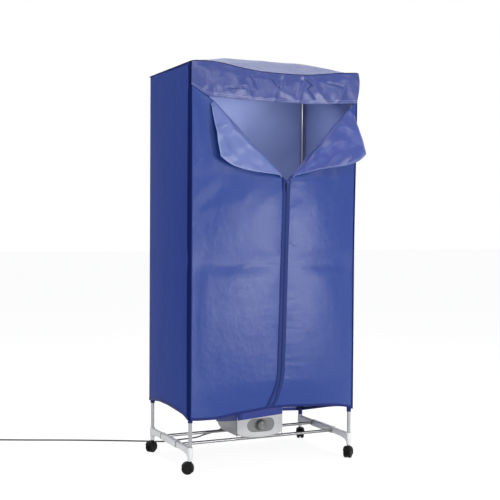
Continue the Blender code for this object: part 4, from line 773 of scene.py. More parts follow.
@dataclass
class CoverShape:
    """The cover's measured form, as the makers of the CAD solids laid it out."""

    outer_x: float = 0.348
    outer_y: float = 0.2155
    height: float = 1.500
    hem_height: float = 0.193
    front_hem_rise: float = 0.0315
    left_hem_rise: float = 0.032
    rear_hem_height: float = 0.1145
    joint_height: float = 0.768
    flare: float = 0.009
    dome: float = 0.058
    sag: float = 0.024
    side_bulge: float = 0.013
    back_bulge: float = 0.014
    front_bulge: float = 0.013
    dome_powers: tuple[float, float] = (2.8, 5.0)
    pinch: float = 0.006
    pinch_fades: tuple[float, float] = (0.036, 0.055)
    zip_top: float = 1.077
    zip_foot: float = 0.330
    zip_top_offset: float = 0.025
    zip_foot_offset: float = 0.015
    zip_hem_shift: float = 0.038
    zip_bend: float = 0.060
    band: float = 0.025
    zip_top_bulge: float = 0.040
    zip_foot_bulge: float = 0.022
    zip_hem_bulge: float = 0.006
    leaf_top_bulge: float = 0.001
    front_hem_shares: Curve = (
        (-1.0, 0.22), (-0.86, 0.13), (-0.70, 0.13), (-0.51, 0.45), (-0.30, 0.72), (-0.10, 0.92),
        (0.05, 1.0), (0.33, 0.89), (0.50, 0.79), (0.69, 0.66), (0.83, 0.49), (0.91, 0.30), (1.0, 0.0),
    )
    left_hem_shares: Curve = (
        (-1.0, 0.22), (-0.93, 0.28), (-0.80, 0.56), (-0.69, 0.68), (-0.40, 0.86), (0.0, 1.0), (0.25, 0.99),
        (0.45, 0.93), (0.70, 0.72), (1.0, 0.44),
    )
    right_hem_shares: Curve = (
        (-1.0, 0.0), (-0.85, 0.0), (-0.53, 0.09), (-0.15, 0.28), (0.24, 0.52), (0.65, 0.78), (1.0, 1.0)
    )
    back_hem_shares: Curve = ((-1.0, 0.0), (-0.4, 0.42), (0.2, 0.76), (0.7, 0.94), (1.0, 1.0))
    sag_shares: Curve = (
        (-1.0, 0.0), (-0.94, -0.20), (-0.79, -0.26), (-0.64, -0.11), (-0.49, 0.22), (-0.34, 0.52),
        (-0.19, 0.72), (0.0, 0.79), (0.12, 0.80), (0.33, 0.74), (0.56, 0.42), (0.78, 0.0), (1.0, -0.26),
    )

    def edge_x(self, side: int, height: float) -> float:
        """The outer face of an upright corner edge."""
        lean = self.flare * ease((height / self.height - 0.5) * 2) if side > 0 else 0.0
        return side * (self.outer_x + lean)

    def crease(self, height: float) -> float:
        """1 at the pole joints, fading faster below them than above."""
        below, above = self.pinch_fades
        return bell(height, self.joint_height, above if height > self.joint_height else below)

    def pillow(self, share: float, height: float, low: float, high: float, depth: float) -> float:
        """The swell of a panel between its upright edges."""
        along = min(max((height - low) / (high - low), 0.0), 1.0)
        ends = max(math.sin(math.pi * mix(0.06, 1.0, along)), 0.0) ** 0.8
        across = 1 - (2 * share - 1) ** 2
        return across * ends * (depth - min(self.pinch, depth) * self.crease(height))

    def top_height(self, x: float, y: float) -> float:
        """The outer face of the top panel."""
        across = min(max(x / self.outer_x, -1.0), 1.0)
        along = min(max(y / self.outer_y, -1.0), 1.0)
        left, right = self.dome_powers
        dome = self.dome * (1 - abs(across) ** (right if across > 0 else left)) * (1 - along * along)
        return self.height + dome - self.sag * through(self.sag_shares, across) * ease(-along)

    def front_hem(self, x: float) -> float:
        """The front hem's height."""
        return self.hem_height + self.front_hem_rise * through(self.front_hem_shares, x / self.outer_x)

    def above_hem(self, level: float, x: float) -> float:
        """A level of the front, lifted below the zip's straight foot as the hem's line asks."""
        if level > self.zip_foot:
            return level
        share = (level - self.hem_height) / (self.zip_foot - self.hem_height)
        return mix(self.front_hem(x), self.zip_foot, share)

    def side_hem(self, side: int, y: float) -> float:
        """A side hem's height: the left one is arched, and the right one falls to the back."""
        if side < 0:
            return self.hem_height + self.left_hem_rise * through(self.left_hem_shares, y / self.outer_y)
        return mix(self.hem_height, self.rear_hem_height, through(self.right_hem_shares, y / self.outer_y))

    def back_hem(self, x: float) -> float:
        """The back hem's height, from one side's hem to the other's."""
        ends = (self.side_hem(-1, self.outer_y), self.side_hem(1, self.outer_y))
        return mix(*ends, through(self.back_hem_shares, x / self.outer_x))

    def zip_x(self, height: float) -> float:
        """The zip's middle."""
        share = (height - self.zip_foot) / (self.zip_top - self.zip_foot)
        line = mix(self.zip_foot_offset, self.zip_top_offset, share)
        bend = self.zip_foot + self.zip_bend
        below = max((bend - height) / (bend - self.hem_height), 0.0)
        return line - self.zip_hem_shift * below * below

    def edge_bulge(self, height: float, leaf_top: float) -> float:
        """How far the zip, or the fold line above it, stands forward."""
        if height > self.zip_top:
            share = (height - self.zip_top) / (leaf_top - self.zip_top)
            return mix(self.zip_top_bulge, self.leaf_top_bulge, share)
        foot, top = (self.zip_foot, self.zip_foot_bulge), (self.zip_top, self.zip_top_bulge)
        halfway = (mix(foot[0], top[0], 0.5), mix(foot[1], top[1], 0.5))
        return through(((self.hem_height, self.zip_hem_bulge), foot, halfway, top), height)


@dataclass
class CoverPanels:
    """The sewn panels that don't move: front leaves, sides, back, top and floor."""

    shape: CoverShape
    shop: Workshop
    corner: float = 0.007
    leaf_tops: dict[Side, float] = field(default_factory=lambda: {Side.LEFT: 1.430, Side.RIGHT: 1.390})
    leaf_width: float = 0.34
    zip_pull: float = 0.055
    pucker: float = 0.0007
    joint_pucker: Spread = Spread(0.0012, 0.835, 0.022)
    leaf_folds: tuple[Wave, Wave] = (Wave(0.0034, 4.2, 3.1, 7.7), Wave(0.0009, 16, 11, 1.3))
    joint_crease: float = 0.0007
    drag: Spread = Spread(0.0016, 1.02, 0.09)
    hollow: Spread = Spread(0.0050, 1.10, 0.075)
    floor_level: float = 0.2265
    floor_inset: float = 0.002
    hole_half: float = 0.0995
    hole_front: float = -0.1062
    hole_rear: float = 0.1218
    hole_rounding: float = 0.025
    cuff_feet: tuple[float, float] = (0.1676, 0.1236)
    cuff_notch: float = 0.1375

    def build(self) -> None:
        """Builds every panel."""
        for side in Side:
            name = side.name.lower()
            connector = [f"top_connector_f{name[0]}"]
            leaf = Cut((64, 210), (0.37, 1.24), (0.40, 1.26), "stretched", connector)
            self.shop.panel(
                f"leaf_cloth_{name}", self.leaf_surface(side), leaf, (0, -1, 0), "cover_cloth",
                f"cover_front_{name}",
            )
            flank = Cut((58, 190), (0.42, 1.31), (0.42, 1.31), "stretched", connector)
            self.shop.panel(
                f"side_cloth_{name}", self.side_surface(side), flank, (side.value, 0, 0), "side_cloth",
                f"cover_{name}",
            )
        connectors = ["top_connector_bl", "top_connector_br"]
        back = Cut((110, 190), (0.71, 1.31), (0.71, 1.31), "stretched", connectors)
        self.shop.panel("back_cloth", self.back_surface(), back, (0, 1, 0), "back_cloth", "cover_back")
        rails = ["hanging_rail_front", "hanging_rail_rear"]
        top = Cut((110, 68), (0.71, 0.44), (0.71, 0.46), "draped", rails)
        self.shop.panel("top_cloth", self.top_surface(), top, (0, 0, 1), "top_cloth", "cover_top")
        self.build_floor()

    def front_detail(self, x: float, height: float, share: float) -> float:
        """Folds of a front leaf beyond its main form, outwards positive."""
        broad, fine = self.leaf_folds
        zip_near = math.exp(-((1 - share) * self.leaf_width / self.zip_pull)) * ease((height - 0.25) / 0.1)
        pucker = (self.pucker + self.joint_pucker.at(height)) * zip_near * ripple(x * 9, height * 62, 3.1)
        folds = broad.at(x, height) * min(share * 6, 1.0) + fine.at(x, height)
        line = self.joint_crease * crease_noise(x * 5 + 2, height * 26, 5.5)
        line *= self.shape.crease(height + 0.012) * min(share * 5, 1.0)
        drag = self.drag.at(height) * ripple(x * 7 + height * 3, height * 16 - x * 9, 9.2)
        hollow = self.hollow.at(height) * ease((share - 0.15) * 3)
        return (pucker + folds + line + drag - hollow) * ease(share * 8)

    def leaf_surface(self, side: Side) -> Surface:
        """The outer face of a door leaf, from its corner to its zip or fold edge."""
        form, top, sign = self.shape, self.leaf_tops[side], side.value
        zip_lap, fold_gap, top_fade = 0.0006, 0.0016, 0.12

        def surface(share: float, row: float) -> Vector:
            """A point of the face, by its shares across and up."""
            level = mix(form.hem_height, top, row)
            corner = form.edge_x(sign, level) - sign * self.corner
            if level <= form.zip_top:
                inner = form.zip_x(level) + sign * (form.band / 2 - zip_lap)
            else:
                rise = level - form.zip_top
                inner = form.zip_top_offset + sign * (max(rise, form.band / 2) + fold_gap)
            x = mix(corner, inner, share)
            bulge = form.edge_bulge(level, top) * math.sin(share * math.pi / 2) ** 1.5
            bulge += form.pillow(share, level, form.hem_height, top, form.front_bulge)
            bulge += self.front_detail(x, level, share) * ease((top - level) / top_fade)
            return Vector((x, -form.outer_y - bulge, form.above_hem(level, x)))

        return surface

    def side_surface(self, side: Side) -> Surface:
        """The outer face of a side panel, from front to back."""
        form, sign = self.shape, side.value
        reach = form.outer_y - self.corner
        broad, fine = Wave(0.0022, 5, 3.0, 21.0), Wave(0.0008, 15, 9.0, 24.0)
        gather, head, head_reach = Wave(0.0035, 24, 18.0, 31.0), Spread(1.0, 1.44, 0.06), 0.22
        tuck, tuck_reach = Spread(0.0045, 0.02, 0.03), 0.12

        def surface(share: float, row: float) -> Vector:
            """A point of the face, by its shares across and up."""
            y = mix(-reach, reach, share)
            level = mix(form.side_hem(sign, y), form.height - self.corner * 0.4, row)
            bulge = form.pillow(share, level, form.hem_height, form.height, form.side_bulge)
            bulge += (broad.at(y, level, sign) + fine.at(y, level, sign)) * inside(share, 7)
            pulled = tuck.at(level - form.joint_height) * math.exp(-share / tuck_reach)
            crown = gather.at(y, level) * head.at(level) * math.exp(-share / head_reach)
            bulge += (crown - pulled) * ease(share * 20)
            return Vector((form.edge_x(sign, level) + sign * bulge, y, min(level, form.top_height(0, y))))

        return surface

    def back_surface(self) -> Surface:
        """The outer face of the back panel, round both back corners."""
        form = self.shape
        turn = self.corner * math.pi / 2
        half = form.outer_x - self.corner
        length = 2 * half + 2 * turn
        broad, fine = Wave(0.0030, 4, 3, 41.0), Wave(0.0009, 14, 10, 44.0)

        def surface(share: float, row: float) -> Vector:
            """A point of the face, by its shares across and up."""
            travel = share * length - length / 2
            side = 1 if travel > 0 else -1
            angle = max(abs(travel) - half, 0.0) / self.corner
            hem = form.back_hem(side * min(abs(travel), form.outer_x))
            level = mix(hem, form.height - self.corner * 0.4, row)
            lean = abs(form.edge_x(side, level)) - form.outer_x
            flat = side * min(abs(travel), half)
            x = flat + side * (self.corner * math.sin(angle) + lean * min(abs(travel) / half, 1.0))
            y = form.outer_y - self.corner * (1 - math.cos(angle))
            inner = min(max((flat / half + 1) / 2, 0.0), 1.0)
            bulge = form.pillow(inner, level, form.hem_height, form.height, form.back_bulge)
            folds = broad.at(x, level) + fine.at(x, level)
            folds += 0.0012 * crease_noise(x * 3 + level * 4, level * 5 - x * 4, 47.0)
            return Vector((x, y + bulge + folds * inside(inner, 8), level))

        return surface

    def top_surface(self) -> Surface:
        """The outer face of the top panel."""
        form = self.shape
        low, high = form.edge_x(-1, form.height), form.edge_x(1, form.height)
        front_lap = 0.001
        broad, fine = Wave(0.0035, 6, 5, 51.0), Wave(0.0016, 17, 13, 54.0)

        def surface(share: float, row: float) -> Vector:
            """A point of the face, by its shares across and up."""
            x, y = mix(low, high, share), mix(-form.outer_y - front_lap, form.outer_y, row)
            swell = broad.at(x, y) + fine.at(x, y)
            swell += 0.0016 * crease_noise(x * 6 + y * 3, y * 9, 57.0)
            return Vector((x, y, form.top_height(x, y) + swell * inside(share, 9) * inside(row, 6)))

        return surface

    def hole_edge(self, angle: float) -> tuple[Vector, Vector, float]:
        """The middle of the floor's opening, the way out at an angle and how far the edge is."""
        reach = Vector((math.cos(angle), math.sin(angle), 0))
        middle = Vector((0, (self.hole_front + self.hole_rear) / 2, 0))
        depth = (self.hole_rear - self.hole_front) / 2
        return middle, reach, self.rounded(reach, self.hole_half, depth, self.hole_rounding)

    def build_floor(self) -> None:
        """The cover's floor, and the elastic cuff that hangs from it round the heater."""
        width, depth = self.shape.outer_x - self.floor_inset, self.shape.outer_y - self.floor_inset
        level, weld = self.floor_level, 0.00005
        sag, gather, puff = Wave(0.003, 9, 9, 61.0), Wave(0.0011, 11, 22, 66.0), 0.0016
        notch_middle, notch_half, hang_gap, tilt = -0.015, 0.013, 0.0006, 0.007

        def floor(share: float, row: float) -> Vector:
            """A point of the floor, round its opening and out from it."""
            middle, reach, hole = self.hole_edge(share * math.tau)
            edge = min(width / max(abs(reach.x), 1e-6), depth / max(abs(reach.y), 1e-6))
            place = middle.lerp(Vector((0, 0, 0)), row) + reach * (hole * (1 - row) + edge * row)
            return Vector((place.x, place.y, level + sag.at(place.x, place.y) * row * (1 - row) * 4))

        def cuff(share: float, row: float) -> Vector:
            """A point of the cuff, round the opening and up from its foot."""
            angle = share * math.tau
            middle, reach, hole = self.hole_edge(angle)
            place = middle + reach * hole
            back_share = (place.y - self.hole_front) / (self.hole_rear - self.hole_front)
            low = mix(*self.cuff_feet, back_share) + tilt * place.x / self.hole_half
            notch = math.exp(-(((place.x - notch_middle) / notch_half) ** 4)) * ease((back_share - 0.9) * 12)
            height = mix(mix(low, self.cuff_notch, notch), level, row)
            out = gather.at(angle, height) * (0.4 + row) + puff * math.sin(math.pi * row) + hang_gap
            return place + reach * out + Vector((0, 0, height))

        shape = self.shop.sheet(96, 14, floor, (1.6, 0.2), (0, 0, 1))
        bmesh.ops.remove_doubles(shape, verts=shape.verts, dist=weld)
        made = self.shop.piece(
            "floor_cloth", shape, ["hem_tape"], "dryer", Slot.TAPE, replaces=["cover_floor"],
            wall=self.shop.cloth_wall,
        )
        shape = self.shop.sheet(180, 22, cuff, (0.84, 0.06), (0, 0, 0))
        bmesh.ops.remove_doubles(shape, verts=shape.verts, dist=weld)
        bmesh.ops.recalc_face_normals(shape, faces=shape.faces)
        self.shop.piece(
            "heater_cuff", shape, ["cuff_cloth"], "dryer", Slot.TAPE, wall=self.shop.cloth_wall,
            sewn_to=made.name,
        )
        area = 2 * width * 2 * depth - 2 * self.hole_half * (self.hole_rear - self.hole_front)
        poles = ["pole_lower_fl", "pole_lower_br"]
        self.shop.cloths.append(Cloth(made, (2 * width, 2 * depth), "stretched", poles, area))

    @staticmethod
    def rounded(reach: Vector, half_x: float, half_y: float, radius: float) -> float:
        """How far a rounded rectangle's edge lies from its middle along a direction."""
        low, high = 0.0, half_x + half_y
        for _ in range(24):
            guess = (low + high) / 2
            x, y = abs(reach.x) * guess, abs(reach.y) * guess
            over_x, over_y = x - (half_x - radius), y - (half_y - radius)
            if over_x > 0 and over_y > 0:
                within = math.hypot(over_x, over_y) < radius
            else:
                within = x < half_x and y < half_y
            low, high = (guess, high) if within else (low, guess)
        return low


@dataclass
class HeaderBand:
    """The wrinkled band over the mouth, with its stitched hem."""

    shape: CoverShape
    shop: Workshop
    hem_height: float = 1.371
    hem_lift: float = 0.044
    standoff: float = 0.0022
    bulge: float = 0.016
    hem_bulge: float = 0.020
    end_draw: float = 0.014
    fall: float = 0.125
    fold_depth: float = 0.0066
    crest_depth: float = 0.0060
    hem_wave: float = 0.0026
    fine: Wave = Wave(0.0008, 46, 34, 77.0)
    gathers: Wave = Wave(0.0014, 85, 5, 70.0)
    stitch_rows: tuple[float, float] = (0.90, 0.955)
    hem_rows: tuple[float, float] = (0.965, 1.003)
    hem_wall: float = 0.0022
    column_shares: Curve = ((-1.0, 0.05), (-0.8, 0.7), (-0.2, 1.0), (0.6, 1.0), (1.0, 0.75))
    row_shares: Curve = ((0.0, 0.0), (0.3, 0.85), (0.6, 1.0), (1.0, 0.75))
    hem_shares: Curve = ((-1.0, 1.0), (-0.78, 0.12), (-0.2, 0.0), (0.3, 0.0), (1.0, 0.35))
    creases: Sequence[tuple[float, float, float, float, float, float]] = (
        (0.335, 0.20, 0.360, 0.58, 0.0032, 0.0040),
        (0.445, 0.16, 0.500, 0.52, 0.0034, 0.0045),
        (0.660, 0.14, 0.700, 0.36, 0.0032, 0.0050),
        (0.700, 0.36, 0.672, 0.50, 0.0032, 0.0050),
        (0.672, 0.50, 0.715, 0.80, 0.0032, 0.0045),
        (0.190, 0.70, 0.300, 0.62, 0.0040, 0.0030),
        (0.800, 0.30, 0.900, 0.45, 0.0045, 0.0030),
    )

    def pressed(self, share: float, row: float) -> float:
        """The depth of the sharp creases at a place on the band."""
        depth, width = 0.0, self.shape.outer_x * 2
        here = Vector((share * width, row * self.fall))
        for start_share, start_row, end_share, end_row, spread, deep in self.creases:
            start = Vector((start_share * width, start_row * self.fall))
            run = Vector((end_share * width, end_row * self.fall)) - start
            along = min(max((here - start).dot(run) / run.length_squared, 0.0), 1.0)
            depth = max(depth, deep * bell((here - start - run * along).length, 0.0, spread))
        return depth

    def surface(self, share: float, row: float) -> Vector:
        """The band's outer face, from its top edge (0) to its hem (1)."""
        form = self.shape
        across = mix(-1.0, 1.0, share)
        low = form.edge_x(-1, form.height) + 0.004
        high = form.edge_x(1, form.height) - self.end_draw * row * row
        x = mix(low, high, share)
        top = form.top_height(x, -form.outer_y) - 0.0008
        hem = self.hem_height + self.hem_lift * through(self.hem_shares, across)
        height = mix(top, hem, row)
        columns = through(self.column_shares, across)
        swell = self.bulge * through(self.row_shares, row) * columns
        swell += (self.hem_bulge - self.bulge) * row * columns
        calm = ease(row * 5) * (0.45 + 0.55 * ease((1 - row) * 6)) * inside(share, 14, 10)
        folds = self.fold_depth * ripple(x * 17 + height * 8, height * 9, 71.0) + self.fine.at(x, height)
        folds += self.crest_depth * (crease_noise(x * 12 - height * 5, height * 6 + x * 3, 74.0) - 0.35)
        swell += folds * calm * columns + self.hem_wave * ripple(x * 9, 3.0, 79.0) * row * calm
        swell += self.gathers.at(x, height) * bell(row, 0.2, 0.16) * calm - self.pressed(share, row)
        return Vector((x, -form.outer_y - self.standoff - max(swell, -0.001), height))

    def build(self) -> None:
        """Builds the band, its two rows of stitches and its hem."""
        held = ["top_connector_fl", "top_connector_fr"]
        cut = Cut((230, 44), (0.72, 0.13), (0.74, 0.17), "hung", held)
        made = self.shop.panel("header_cloth", self.surface, cut, (0, -1, 0), "header_cloth", "cover_header")
        lines = [lambda share, row=row: self.surface(share, row) for row in self.stitch_rows]
        stitches = Stitches().rows(lines, 0.71)
        self.shop.piece(
            "header_stitches", stitches, ["pale_thread"], "dryer", Slot.TAPE, sewn_to=made.name
        )

        def hem(share: float, row: float) -> Vector:
            """A point of the hem's outer face, just proud of the band."""
            return self.surface(share, mix(*self.hem_rows, row)) + Vector((0, -0.0003, 0))

        shape = self.shop.sheet(150, 3, hem, (0.72, 0.01), (0, -1, 0))
        self.shop.piece(
            "header_hem", shape, ["header_cloth"], "dryer", Slot.CLOTH, wall=self.hem_wall,
            sewn_to=made.name,
        )


@dataclass
class Stitches:
    """Rows of single stitches laid on a surface."""

    pitch: float = 0.0042
    length: float = 0.0030
    width: float = 0.0007
    lift: float = 0.0003

    def rows(
        self, lines: Sequence[Callable[[float], Vector]], run: float, toward: Point = (0, -1, 0)
    ) -> bmesh.types.BMesh:
        """Stitches along several lines.

        Args:
            lines: Each gives a point for a share of its run.
            run: The length of a run.
            toward: The way out of the cloth.

        Returns:
            All the stitches as one shape.
        """
        whole = bmesh.new()
        out = Vector(toward)
        count = int(run / self.pitch)
        for line in lines:
            for number in range(count):
                start = line((number + 0.1) / count)
                end = line((number + 0.1 + self.length / self.pitch) / count)
                along = end - start
                if along.length < 1e-6:
                    continue
                side = along.normalized().cross(out).normalized()
                over = side.cross(along.normalized())
                place = Matrix((side * self.width, along, over * self.width)).transposed().to_4x4()
                place.translation = (start + end) / 2 + over * self.lift
                bmesh.ops.create_cube(whole, size=1.0, matrix=place)
        bmesh.ops.recalc_face_normals(whole, faces=whole.faces)
        return whole


@dataclass(frozen=True)
class CornerPlan:
    """What one of the door's two corners has of its own."""

    leaf_top: float
    most: float
    flare: float
    finish: str
    # The edge tape's finish, lighter than the face: a painted highlight along the rolled edge.
    edge_highlight_finish: str
    outline: Curve


# The left corner's face is a lighter copy of the cloth's inner face and the right one's a darker copy, as
# painted light and painted shade; each edge tape is lighter again, as a painted highlight.
CORNER_PLANS: dict[Side, CornerPlan] = {
    Side.LEFT: CornerPlan(1.430, 0.134, 0.0, "lapel_cloth", "lapel_edge", (
        (0.0, 0.02), (0.05, 0.11), (0.15, 0.35), (0.25, 0.58), (0.37, 0.81), (0.46, 0.93), (0.53, 0.98),
        (0.585, 1.0), (0.62, 0.93), (0.72, 0.73), (0.83, 0.50), (1.0, 0.13),
    )),
    Side.RIGHT: CornerPlan(1.390, 0.157, 0.042, "lapel_right_cloth", "lapel_cloth", (
        (0.0, 0.02), (0.22, 0.32), (0.485, 0.77), (0.65, 0.96), (0.74, 1.0), (0.80, 0.88), (0.90, 0.55),
        (1.0, 0.22),
    )),
}


@dataclass
class DoorCorner:
    """A turned-out corner of the door, rolled over its fold line."""

    shape: CoverShape
    shop: Workshop
    side: Side
    plan: CornerPlan
    length: float = 0.405
    start: float = 0.026
    roll: float = 0.024
    lift: float = 0.0008
    root: float = 0.0022
    fold_radius: float = 0.0030
    bend: float = 0.10
    fold_depths: tuple[float, float] = (0.0050, 0.0026)
    crest_depth: float = 0.0052
    hem_rows: tuple[float, float] = (0.968, 1.004)
    hem_wall: float = 0.0024
    stitch_row: float = 0.945
    lift_shares: Curve = ((0.0, 0.0), (0.06, 0.45), (0.20, 0.85), (0.45, 1.0), (1.0, 1.0))
    end_shares: Curve = ((0.0, 0.25), (0.2, 0.8), (0.5, 1.0), (0.8, 0.85), (1.0, 0.2))

    def frame(self) -> tuple[Vector, Vector, Vector, Vector]:
        """The fold line's start and direction, the way across the leaf and the way forward."""
        form, sign = self.shape, self.side.value
        rise = self.plan.leaf_top - form.zip_top
        low_y, high_y = (
            -form.outer_y - bulge - self.lift / 2 for bulge in (form.zip_top_bulge, form.leaf_top_bulge)
        )
        start = Vector((form.zip_top_offset, low_y, form.zip_top))
        end = Vector((form.zip_top_offset + sign * rise, high_y, self.plan.leaf_top))
        along = (end - start).normalized()
        forward = Vector((0, -1, 0))
        forward = (forward - along * forward.dot(along)).normalized()
        across = along.cross(forward) if sign > 0 else forward.cross(along)
        return start, along, across, forward

    def surface(self, share: float, reach: float) -> Vector:
        """The corner's visible face, from behind the fold (0) over it and out to its edge (1)."""
        start, along, across, forward = self.frame()
        distance = self.start + (self.length - self.start) * share
        width = max(self.plan.most * through(self.plan.outline, share), 4 * self.root)
        radius = self.fold_radius * min(distance / 0.05, 1.0)
        if reach < self.bend:
            angle = math.pi * (reach / self.bend)
            behind, rise = radius * (0.3 - math.sin(angle)), -radius * math.cos(angle)
            return start + along * distance + across * behind + forward * rise
        far = (reach - self.bend) / (1 - self.bend)
        out = radius * 0.3 + (width - radius * 0.3) * far
        ends = through(self.end_shares, share)
        rise = radius + (self.lift + self.roll * through(self.lift_shares, far) * ends)
        rise -= self.lift * (1 - far)
        rise += self.plan.flare * far * far * math.sin(math.pi * share) ** 2
        sign, calm = self.side.value, ease(far * 6) * ease(share * 10)
        broad, fine = self.fold_depths
        fold = broad * ripple(distance * 12 + sign * 3, out * 15, 81.0)
        fold += fine * ripple(distance * 30, out * 26, 84.0)
        crest = crease_noise(distance * 9 + out * 8, out * 12 - distance * 6, 87.0 + sign) - 0.3
        fold += self.crest_depth * crest
        return start + along * distance + across * out + forward * (rise + fold * calm)

    def build(self) -> None:
        """Builds the corner, its edge tape and its stitches."""
        name = self.side.name.lower()
        body = f"door_corner_{name}"
        forward = self.frame()[-1]
        cut = Cut((110, 62), (0.38, self.plan.most), (0.42, 0.20), "hung", [f"leaf_cloth_{name}"])
        made = self.shop.panel(
            f"door_corner_cloth_{name}", self.surface, cut, tuple(forward), self.plan.finish,
            f"lapel_{name}", "cover_cloth", body,
        )

        def edge(share: float, row: float) -> Vector:
            """A point of the edge tape's outer face, just proud of the corner."""
            return self.surface(share, mix(*self.hem_rows, row)) + forward * 0.0005

        shape = self.shop.sheet(110, 3, edge, (0.45, 0.006), tuple(forward))
        self.shop.piece(
            f"door_corner_hem_{name}", shape, [self.plan.edge_highlight_finish], body, Slot.CLOTH,
            wall=self.hem_wall, wall_offset=-0.6, sewn_to=made.name,
        )
        line = [lambda share: self.surface(share, self.stitch_row)]
        stitches = Stitches().rows(line, 0.40, tuple(forward))
        self.shop.piece(
            f"door_corner_stitches_{name}", stitches, ["pale_thread"], body, Slot.TAPE, sewn_to=made.name
        )


@dataclass
class CoverTrim:
    """Corner tapes, hem tapes, piping and pole sleeves."""

    shape: CoverShape
    panels: CoverPanels
    shop: Workshop
    side_reach: float = 0.019
    front_reach: float = 0.0085
    proud: float = 0.0007
    piping: float = 0.0021
    hem_depth: float = 0.010
    hem_wall: float = 0.0024
    hem_drop: float = 0.0008
    tape_wall: float = 0.0006
    piping_inset: float = 0.0006
    sleeves: dict[str, tuple[float, float, float, float]] = field(
        default_factory=lambda: {
            "fl": (-0.336, -0.201, 0.188, 0.02), "fr": (0.336, -0.201, 0.181, 0.02),
            # The back-right sleeve runs long, down to the bracket: painted shade, a navy sleeve where the
            # bare pole only looks dark in shade.
            "bl": (-0.336, 0.201, 0.197, 0.02), "br": (0.336, 0.201, 0.101, 0.055),
        }
    )

    def build(self) -> None:
        """Builds all trim."""
        for side in Side:
            self.build_corner_tape(side)
        self.build_hems()
        self.build_piping()
        self.build_sleeves()

    def build_corner_tape(self, side: Side) -> None:
        """The dark tape over a front corner seam, wide on the side and narrow on the front: a real tape whose
        darkness and width on the side are also painted shade of the corner.
        """
        form, sign, radius = self.shape, side.value, self.panels.corner
        leaf, flank = self.panels.leaf_surface(side), self.panels.side_surface(side)
        arc = radius * math.pi / 2
        total = self.side_reach - radius + arc + self.front_reach - radius
        run = 2 * (form.outer_y - radius)

        def surface(share: float, row: float) -> Vector:
            """A point of the face, by its shares across and up."""
            travel = share * total
            straight = self.side_reach - radius
            if travel < straight:
                return flank((straight - travel) / run, row) + Vector((sign * self.proud, 0, 0))
            travel -= straight
            level = mix(form.side_hem(sign, -form.outer_y), form.height - 0.0010, row)
            edge = form.edge_x(sign, level)
            if travel < arc:
                angle = travel / radius
                reach = radius + self.proud
                x = edge - sign * radius + sign * reach * math.cos(angle)
                return Vector((x, -form.outer_y + radius - reach * math.sin(angle), level))
            across = (travel - arc) / abs(form.zip_x(level) - edge)
            top, base, flat = self.panels.leaf_tops[side], form.hem_height, level
            if level <= form.zip_foot:
                hem = form.front_hem(edge)
                flat = mix(base, form.zip_foot, (level - hem) / (form.zip_foot - hem))
            point = leaf(across, min(max((flat - base) / (top - base), 0.0), 1.0))
            return Vector((point.x, min(point.y, -form.outer_y) - self.proud, level))

        shape = self.shop.sheet(16, 150, surface, (total, 1.31), (sign, -1, 0))
        name = side.name.lower()
        self.shop.piece(
            f"corner_tape_{name}", shape, ["corner_tape"], "dryer", Slot.TAPE, wall=self.tape_wall,
            sewn_to=f"side_cloth_{name}",
        )

    def build_hems(self) -> None:
        """Tapes round the hems of the leaves, sides and back; the back one takes the lighter cuff cloth as
        painted light against the shadow it sits in.
        """
        strips: list[tuple[str, Surface, float, int, Point]] = []
        for side in Side:
            name = side.name.lower()
            strips.append((f"leaf_hem_{name}", self.panels.leaf_surface(side), 1.24, 64, (0, -1, 0)))
            flank = self.panels.side_surface(side)
            strips.append((f"side_hem_{name}", flank, 1.31, 58, (side.value, 0, 0)))
        strips.append(("back_hem", self.panels.back_surface(), 1.31, 100, (0, 1, 0)))
        for name, surface, run, count, toward in strips:
            share = self.hem_depth / run

            def strip(column: float, row: float, under: Surface = surface, deep: float = share) -> Vector:
                """A point of the tape, which drops a little below the cloth's own edge."""
                return under(column, mix(0.0, deep, row)) + Vector((0, 0, mix(-self.hem_drop, 0.0, row)))

            shape = self.shop.sheet(count, 4, strip, (0.4, self.hem_depth), toward)
            # Painted light: the back hem takes the lighter cuff cloth instead of the navy hem tape, so that
            # it doesn't sink into the shadow under the cover.
            finish = "cuff_cloth" if name == "back_hem" else "hem_tape"
            self.shop.piece(
                name, shape, [finish], "dryer", Slot.TAPE, wall=self.hem_wall, wall_offset=-0.25,
                sewn_to=name.replace("_hem", "_cloth"),
            )

    def build_piping(self) -> None:
        """The piping round the top edge."""
        form, inset = self.shape, self.piping_inset
        path: list[Vector] = []
        low, high = form.edge_x(-1, form.height), form.edge_x(1, form.height)
        for share in steps(90)[:-1]:
            x = mix(low, high, share)
            path.append(Vector((x, -form.outer_y - inset, form.top_height(x, -form.outer_y) - inset)))
        marks = [(high, -form.outer_y), (high, form.outer_y), (low, form.outer_y), (low, -form.outer_y)]
        for count, (start_x, start_y), (end_x, end_y) in zip((40, 60, 40), marks, marks[1:]):
            for share in steps(count)[:-1]:
                x, y = mix(start_x, end_x, share), mix(start_y, end_y, share)
                path.append(Vector((x, y, form.height - inset)))
        shape = self.shop.swept(path, self.shop.round_profile(self.piping, 8), (0, 0, 1))
        self.shop.piece("top_piping", shape, ["corner_tape"], "dryer", Slot.TAPE, sewn_to="top_cloth")

    def build_sleeves(self) -> None:
        """Short cloth sleeves that hold the cover's corners to the poles; the back-right one runs down to the
        bracket as painted shade, where the pole only looks dark.
        """
        for corner, (x, y, foot, length) in self.sleeves.items():
            top = foot + length
            outline = ((0.0084, foot), (0.0090, foot + 0.002), (0.0088, top), (0.0078, top), (0.0076, foot))
            self.shop.piece(
                f"pole_sleeve_{corner}", self.shop.turned(outline, 24), ["hem_tape"], "dryer", Slot.TAPE,
                matrix=Matrix.Translation((x, y, 0)),
                sewn_to="side_cloth_left" if x < 0 else "side_cloth_right",
            )


